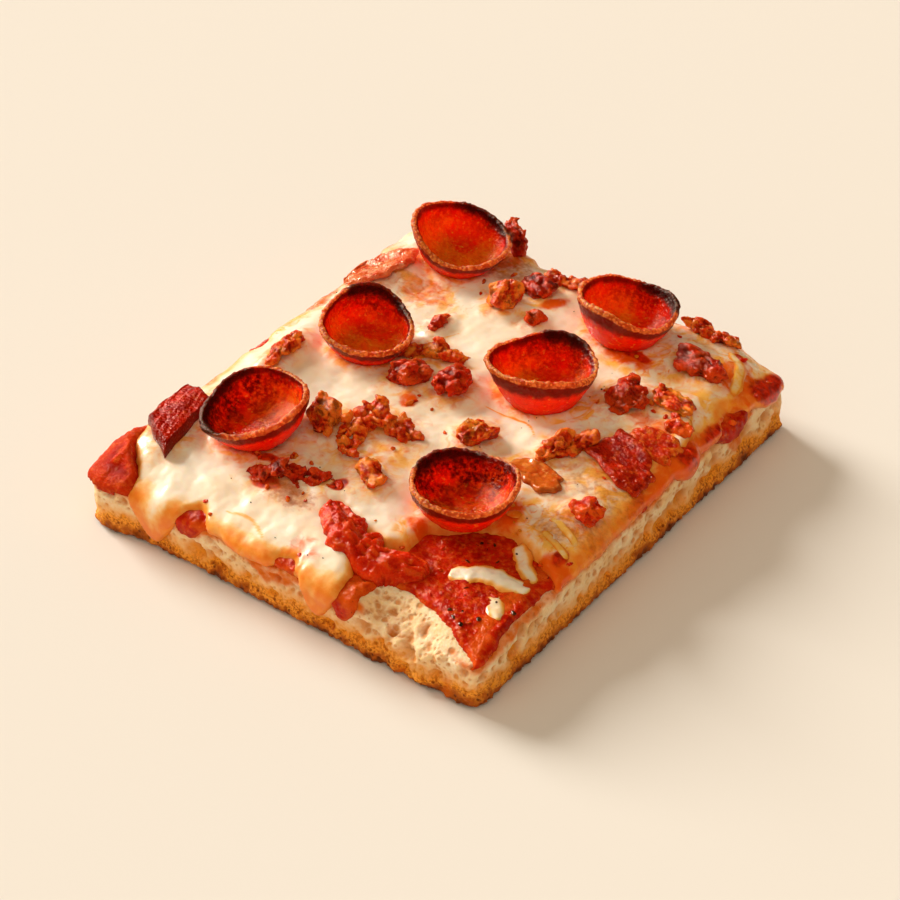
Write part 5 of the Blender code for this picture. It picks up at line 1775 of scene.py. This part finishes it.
@dataclass(frozen=True)
class SalamiWedge:
    """The thick four-cornered piece of salami that leans on the cheese by the left corner."""

    corners: tuple = ((-62.6, -34.5), (-52.0, -36.5), (-47.2, -62.0), (-61.5, -53.0))
    thickness: float = 4.2
    cell: float = 0.42
    crown: float = 1.4

    def cook(self, ground: Ground) -> bpy.types.Object:
        """Spread a square between the corners, thicken, round and roughen it, and lean it on the cheese."""
        cells = round(26 / self.cell)
        bm = bmesh.new()
        bmesh.ops.create_grid(bm, x_segments=cells, y_segments=cells, size=1.0)
        flat_count = len(bm.verts)
        bmesh.ops.extrude_face_region(bm, geom=bm.faces[:])
        dough = Dough(bm)
        grid = dough.points
        raised = np.arange(len(grid)) >= flat_count
        sx, sy = grid[:, 0], grid[:, 1]
        softer = 0.18
        px = sx * (1 - softer + softer * np.sqrt(1 - sy**2 / 2))
        py = sy * (1 - softer + softer * np.sqrt(1 - sx**2 / 2))
        wave = 1 + 0.03 * np.sin(5 * sx + 2) + 0.03 * np.sin(7 * sy)
        px, py = (px * wave + 1) / 2, (py * wave + 1) / 2
        first, second, third, fourth = (np.array(corner) for corner in self.corners)
        near = np.outer(1 - px, first) + np.outer(px, second)
        far = np.outer(1 - px, fourth) + np.outer(px, third)
        places = near * (1 - py)[:, None] + far * py[:, None]
        x, y = places.T
        seeded = np.column_stack((x, y, np.full(len(x), 7.0)))
        inside = np.minimum(1 - np.abs(sx), 1 - np.abs(sy)) * 12
        edge = np.sqrt(np.clip(1 - (1 - np.clip(inside / 1.2, 0, 1)) ** 2, 0, 1))
        grains, pick = granules(seeded, 1.5, 8)
        ridges = 0.35 * perlin(np.column_stack((x * 2.2 + y * 0.6, y * 0.35, np.full(len(x), 3.0))), 3.0, 67.0)
        top = self.thickness * (0.55 + 0.45 * edge) + ridges + 0.25 * smooth_step(0.7, 0.1, grains) + 0.5 * fractal(seeded, 6.0, 68.0, 2)
        base = ground.level(x, y, 4.0)
        base = 0.35 * base + 0.65 * np.percentile(base, 85) - 1.6
        dough.points = np.column_stack((x, y, base + np.where(raised, top + self.crown * (1 - (sx**2 + sy**2) / 2), 0)))
        dough.mark("fat", 0.5 * smooth_step(0.82, 0.95, pick) * smooth_step(0.5, 0.2, grains))
        dough.mark("char", 0.15 * smooth_step(1.2, 0.2, inside) * raised)
        dough.mark_relief(0.25)
        return dough.serve("cooked_salami_wedge", SALAMI, "salami", ("salami_wedge",))


@dataclass(frozen=True)
class CornerSlice:
    """The slice at the left corner, bent over the bread's edge and bulging up beside the cheese."""

    sauce: SauceLayer
    cheese: "CheeseLayer"
    x: float = -55.0
    y: float = -59.5
    radius: float = 14.0
    thickness: float = 1.9
    rise: float = 3.6
    overhang: float = 5.0
    cell: float = 0.5

    def cook(self) -> bpy.types.Object:
        """Bend the slice over the corner and roughen it."""
        bm = sheet(self.cell, 8.0)
        u, v = plan(bm)
        keep_where(bm, self.cover(u, v))
        u, v = plan(bm)
        flat_count = len(bm.verts)
        made = bmesh.ops.extrude_face_region(bm, geom=bm.faces[:])["geom"]
        dough = Dough(bm)
        raised = np.arange(len(dough.mesh.vertices)) >= flat_count
        u, v = dough.points[:, 0], dough.points[:, 1]
        past = SLAB.past_edge(u, v)[0]
        places = flat(u, v)
        cover = self.cover(u, v)
        hidden = smooth_step(-1.5, 1.0, self.cheese.cover(u, v))
        lift = self.sauce.top(u, v) + self.rise * smooth_step(1, -4, past) * (1 - hidden) + 0.5 * fractal(places, 6.0, 65.0, 3)
        lift -= hidden * 1.2
        grains, pick = granules(places, 1.7, 5)
        round_edge = np.sqrt(np.clip(1 - (1 - np.clip(cover / 1.5, 0, 1)) ** 2, 0, 1))
        lift += np.where(raised, self.thickness * round_edge + 0.35 * smooth_step(0.7, 0.1, grains), 0)
        dough.points = SLAB.wrap(u, v, lift)
        dough.mark("fat", 0.4 * smooth_step(0.8, 0.95, pick) * smooth_step(0.5, 0.2, grains))
        dough.mark("char", 0.3 * smooth_step(1.2, 0.0, cover))
        dough.mark_relief(0.25)
        return dough.serve("cooked_pepperoni_left_corner", SLICED, "pepperoni", ("pepperoni_left_corner",))

    def cover(self, u: Array, v: Array) -> Array:
        """Distance from each (u, v) into the slice from its outline."""
        disc = self.radius - np.hypot(u - self.x, v - self.y) + 0.8 * perlin(flat(u, v), 4.0, 66.0)
        return np.minimum.reduce([disc, self.overhang - SLAB.past_edge(u, v)[0], 2.5 - self.cheese.cover(u, v)])


LUMPS = (
    Crumble("bacon_left_edge", 15, 6, 4.5, 92, 1, BACON, "bacon", fat=0.6),
    Crumble("pepperoni_behind_cup", 9.5, 5, 12, -20, 2, SALAMI, "pepperoni", char=0.5),
    Crumble("sausage_back_1", 10, 9.5, 8, 40, 3, BACON, "sausage", fat=0.7, char=0.4),
    Crumble("sausage_back_2", 11, 8, 6, -6, 4, SAUSAGE, "sausage", char=1.0, fat=0.0),
    Crumble("sausage_middle_1", 12, 9.5, 7, 47, 5, SAUSAGE, "sausage", fat=0.4),
    Crumble("sausage_middle_2", 10.5, 12.5, 7, 1, 6, SAUSAGE, "sausage", fat=0.1),
    Crumble("sausage_by_cup", 10, 9, 6.5, 74, 7, BACON, "sausage", fat=0.7, char=0.6),
    Crumble("bacon_small_front", 14, 8.8, 7.5, -60, 8, BACON, "bacon", fat=0.4, char=0.6, rough=1.4),
    Crumble("sausage_front", 11, 7, 5.5, -40, 9, BACON, "sausage", fat=1.0),
    Crumble("sausage_right_1", 13, 12, 7, 77, 10, SAUSAGE, "sausage", fat=0.1),
    Crumble("sausage_right_2", 14, 8, 5, -14, 11, BACON, "sausage", fat=0.9),
    Crumble("tomato_edge_right", 9, 5.5, 4, -10, 12, TOMATO, "tomato"),
    Crumble("bacon_right_back", 17, 10, 6.5, -12, 13, SAUSAGE, "bacon", fat=0.1, char=0.6),
    Crumble("tomato_right", 9, 8.5, 6.5, 7, 14, TOMATO, "tomato", grain=2.2, count=14, rough=0.8),
    Crumble("sausage_beside_cup", 6, 5, 4.5, 75, 15, SAUSAGE, "sausage", grain=0.9, count=16),
    Crumble("sausage_behind_cup", 8, 4.5, 4, 105, 16, SAUSAGE, "sausage", grain=0.9, count=18, fat=0.5),
)
STRIPS = (
    Shred("bacon_back_edge", ((-11.8, 63.5), (-6, 65.6), (-0.7, 66)), 6.5, 4.5, 1),
    Shred("bacon_shred_middle", ((-24.5, 12), (-17, 15.5), (-9.5, 17.6)), 5.0, 4.0, 2, fat=0.9, char=0.2),
    Shred("bacon_curl_front", ((-8, -34), (-12.5, -27), (-12, -19), (-5, -17), (1.5, -18.5)), 9.0, 7.5, 3, count=44),
    Shred("bacon_wet_front", ((-24.5, -53), (-16, -49.5), (-7, -45.5)), 9.0, 4.5, 4, SAUSAGE, char=0.8, fat=0.3),
    Shred("bacon_curl_right", ((33, -4), (37, 2), (41, 8)), 8.0, 6.0, 5),
    Shred("bacon_far_edge", ((31, 70.6), (38.5, 70.2), (46.5, 69)), 5.4, 4.5, 6, fat=0.9),
    Rasher("tomato_fold", ((0.5, -50.5), (9, -55.8), (20, -58.6), (34, -54.0)), 12.0, 3.8, 2.2, 7, TOMATO, "tomato", ruffle=1.6, streaks=0.3, char=0.0, tip=0.3),
    Rasher("cheese_shred_long", ((37.3, -51), (46, -45.6), (58.5, -44.2)), 7.5, 1.0, 0.4, 8, CHEESE, "cheese", ruffle=0.3),
    Rasher("cheese_shred_short", ((51.6, -50.2), (55, -54.5), (58.2, -58)), 5.5, 0.9, 0.2, 9, CHEESE, "cheese", ruffle=0.2, amber=0.3),
    Rasher("strand_1", ((45.5, -32), (50.5, -36.6), (57.5, -41)), 5.0, 0.9, 0.2, 10, CHEESE, "cheese", 0.2, amber=0.4, extra=True),
    Rasher("strand_2", ((49, -27), (55, -29), (60.5, -30.5)), 3.6, 0.9, 0.3, 11, CHEESE, "cheese", 0.2, amber=1.0, extra=True),
    Rasher("strand_3", ((48, -22), (55, -23.5), (60.5, -26)), 3.0, 0.8, 0.3, 12, CHEESE, "cheese", 0.2, amber=0.8, extra=True),
    Rasher("strand_5", ((47, 66), (54, 60), (58, 50)), 4.4, 1.0, 0.3, 14, CHEESE, "cheese", 0.2, amber=0.9, extra=True),
    Rasher("strand_6", ((53, 33), (57, 27), (59, 19)), 6.0, 1.1, 0.4, 15, CHEESE, "cheese", 0.2, amber=0.5, extra=True),
)
SLICES = (
    ThinSlice("pepperoni_back_left", -55, 39.6, 21, 14, 1.8, 62, 1.6, 1, VEILED, "pepperoni", fat=0.9),
    ThinSlice("pepperoni_under_cheese", 36.5, -11, 16, 10, 1.2, -8, 0.6, 2, GLAZED, "pepperoni", fat=0.3, char=0.5),
    ThinSlice("bacon_rasher_right", 51.4, 6.6, 21, 13, 1.5, -22, 1.4, 4, SAUSAGE, "bacon", squareness=0.5, char=0.1, fat=0.8),
    ThinSlice("bacon_rasher_edge", 54.2, 17.6, 15, 9, 1.5, -5, 0.8, 5, BACON, "bacon", squareness=0.5, char=0.1, fat=0.8),
)


class Bit(Enum):
    """The kinds of small loose piece that lie on the slice."""

    HERB = "herb_flecks"
    PEPPER = "pepper_specks"
    CRUMB = "meat_crumbs"
    OIL = "oil_beads"
    CLOT = "tomato_bits"


@dataclass(frozen=True)
class Scatter:
    """Small pieces of one kind, placed by name or strewn near a spot."""

    kind: Bit
    finish: Finish
    slot: str
    size: tuple
    placed: tuple = ()
    strewn: tuple = ()
    seed: int = 1
    sink: float = 0.35

    def spots(self, draw: np.random.Generator) -> Array:
        """The (x, y, scale) of every piece."""
        found = [tuple(spot) for spot in self.placed]
        for x, y, reach, count in self.strewn:
            for _ in range(count):
                away, way = reach * math.sqrt(draw.uniform()), draw.uniform(0, math.tau)
                found.append((x + away * math.cos(way), y + away * math.sin(way), draw.uniform(0.5, 1.0)))
        return np.array(found)

    def strew(self, ground: Ground) -> bpy.types.Object:
        """Make the pieces as one object."""
        draw = np.random.default_rng(500 + self.seed)
        spots = self.spots(draw)
        levels = ground.height(spots[:, 0], spots[:, 1])
        bm = bmesh.new()
        for (x, y, scale), level in zip(spots, levels):
            if level < 8:
                continue
            made = bmesh.ops.create_icosphere(bm, subdivisions=1, radius=0.5)["verts"]
            size = [part * scale * draw.uniform(0.6, 1.35) for part in self.size]
            for vert in made:
                vert.co *= draw.uniform(0.6, 1.4)
            bmesh.ops.scale(bm, vec=size, verts=made)
            bmesh.ops.rotate(bm, matrix=Matrix.Rotation(draw.uniform(-0.4, 0.4), 3, "X"), verts=made)
            bmesh.ops.rotate(bm, matrix=Matrix.Rotation(draw.uniform(0, math.pi), 3, "Z"), verts=made)
            bmesh.ops.translate(bm, vec=(x, y, level + size[2] * (0.5 - self.sink)), verts=made)
        dough = Dough(bm)
        dough.subdivide(3)
        dough.swell(0.12 * fractal(dough.points, 0.9, 83.0, 2) * min(self.size))
        dough.mark_relief(0.15)
        seeded = dough.points
        dough.mark("fat", 0.6 * smooth_step(0.0, 0.4, perlin(seeded, 2.0, 81.0)))
        dough.mark("char", 0.4 * smooth_step(0.1, 0.5, perlin(seeded, 1.6, 82.0)))
        return dough.serve(self.kind.value, self.finish, self.slot)


SCATTERS = (
    Scatter(
        Bit.HERB, HERB, "tomato", (2.2, 1.4, 0.7), seed=1,
        placed=((59.5, -53, 1.1), (54, -60, 0.9), (47.5, -34.5, 0.8), (40, -37.5, 0.5), (49, -60, 0.5), (46, -55, 0.4)),
        strewn=((44, -38, 8, 5), (50, -58, 8, 5)),
    ),
    Scatter(
        Bit.PEPPER, HERB, "tomato", (0.8, 0.6, 0.45), seed=2,
        placed=((22.5, 37.5, 1.2), (5, -41, 1.0), (-17.5, -62, 1.0), (-5, -67.5, 0.9), (65, -28, 1.0), (-16, -9, 0.7), (-22, 27, 0.6), (39, -14.5, 0.8), (-58, -66, 0.7)),
        strewn=((-10, -58, 26, 10), (0, 40, 34, 12), (40, 0, 26, 10), (-45, 20, 20, 6)),
    ),
    Scatter(
        Bit.CRUMB, BACON, "bacon", (2.6, 1.7, 1.3), seed=3,
        placed=((-9, -5, 1.4), (-3, -4, 0.6), (52, 31, 1.5), (50, 29, 1.0), (-29, -46, 1.2), (-21, -54, 1.3), (-17, -56, 0.9), (-10, -56, 1.1), (-6, -54, 0.8), (6, -10, 0.7), (-4, -33, 0.8), (-22, 60, 1.2), (-13, 62, 1.0), (33, 62, 0.8)),
        strewn=((-14, -48, 10, 6), (-8, -24, 10, 5), (-12, 8, 11, 5), (40, 30, 12, 7), (46, 52, 10, 4), (-18, 56, 12, 5), (46, 4, 10, 5)),
    ),
    Scatter(
        Bit.OIL, OIL, "cheese", (1.8, 1.5, 0.5), seed=4, sink=0.2,
        placed=((40, -26, 2.2), (37.5, -23.5, 1.4), (28.5, 47.5, 1.2), (13, -49, 0.8)), strewn=((41, -28, 4, 3),),
    ),
    Scatter(
        Bit.CLOT, TOMATO, "tomato", (2.6, 1.9, 1.1), seed=5,
        placed=((-3, -44, 1.6), (-4, -46, 1.0), (-27, -47, 1.0), (52, 65, 1.3), (62, 22, 1.2), (55, -35, 1.0), (63, 30, 1.2), (62, 44, 1.2), (60, 66, 1.4), (61, -31, 0.9)),
        strewn=((50, -44, 9, 4), (30, -50, 8, 5), (44, -58, 10, 4), (62, 52, 5, 3), (-26, -67, 3, 2), (4, -69, 4, 2)),
    ),
)


@dataclass(frozen=True)
class Stage:
    """The table, the light and the camera."""

    camera: tuple = (347.5, -463.0, 459.7)
    target: tuple = (-5.7, 7.7, 0.0)
    lens: float = 108.0
    table: float = 6000.0

    def set_up(self) -> None:
        """Make the table, the lights and the camera."""
        bm = bmesh.new()
        bmesh.ops.create_grid(bm, x_segments=1, y_segments=1, size=self.table * MM / 2)
        mesh = bpy.data.meshes.new("table")
        bm.to_mesh(mesh)
        bm.free()
        mesh.materials.append(FLOOR.material())
        table = bpy.data.objects.new("table", mesh)
        bpy.context.scene.collection.objects.link(table)
        table.location.z = -0.00005
        self.light("key", (-0.99, 0.106, 0.48), 26.0, 4.3, (1.0, 0.985, 0.95))
        self.light("fill", (0.3, -0.9, 0.9), 100.0, 0.85, (1.0, 0.9, 0.76)).visible_glossy = False
        glint = self.light("glint", (-0.95, 0.2, 0.6), 6.0, 3.6, (1.0, 0.94, 0.86))
        glint.visible_diffuse = glint.visible_transmission = False
        world = bpy.data.worlds.new("room")
        world.use_nodes = True
        world.node_tree.nodes["Background"].inputs["Color"].default_value = (1.0, 0.82, 0.62, 1)
        world.node_tree.nodes["Background"].inputs["Strength"].default_value = 0.38
        world.cycles_visibility.glossy = False
        bpy.context.scene.world = world
        data = bpy.data.cameras.new("camera")
        data.lens = self.lens
        data.clip_start, data.clip_end = 0.01, 10.0
        camera = bpy.data.objects.new("camera", data)
        camera.location = Vector(self.camera) * MM
        camera.rotation_euler = (Vector(self.camera) - Vector(self.target)).to_track_quat("Z", "Y").to_euler()
        bpy.context.scene.collection.objects.link(camera)
        bpy.context.scene.camera = camera

    def light(self, name: str, towards: tuple, spread: float, strength: float, colour: tuple) -> bpy.types.Object:
        """Add a soft light that is far away.

        Args:
            name: The light's name.
            towards: The direction from the slice to it.
            spread: How wide it looks from the slice, in degrees.
            strength: Its strength in watts per square metre.
            colour: Its colour.

        Returns:
            The light.
        """
        data = bpy.data.lights.new(name, "SUN")
        data.angle, data.energy, data.color = math.radians(spread), strength, colour
        lamp = bpy.data.objects.new(name, data)
        lamp.rotation_euler = Vector(towards).to_track_quat("Z", "Y").to_euler()
        bpy.context.scene.collection.objects.link(lamp)
        return lamp


def main() -> None:
    """Build the slice from the bread up, then set the stage."""
    logging.basicConfig(level=logging.INFO, format="%(name)s: %(message)s")
    bpy.context.scene.view_settings.view_transform = "Standard"
    Bread().bake()
    sauce = SauceLayer()
    cheese = CheeseLayer(sauce)
    poured, melted = sauce.spread(), cheese.melt()
    ground = Ground([poured, melted])
    poured.serve("spread_sauce", SAUCE, "sauce", ("sauce",))
    melted.serve("melted_cheese", CHEESE, "cheese", ("cheese",))
    for cup in CUPS:
        PepperoniCup(cup).bake()
    CornerSlice(sauce, cheese).cook()
    SalamiWedge().cook(ground)
    for piece in (*LUMPS, *STRIPS, *SLICES):
        piece.cook(ground)
    for bits in SCATTERS:
        bits.strew(ground)
    Stage().set_up()


if __name__ == "__main__":
    main()
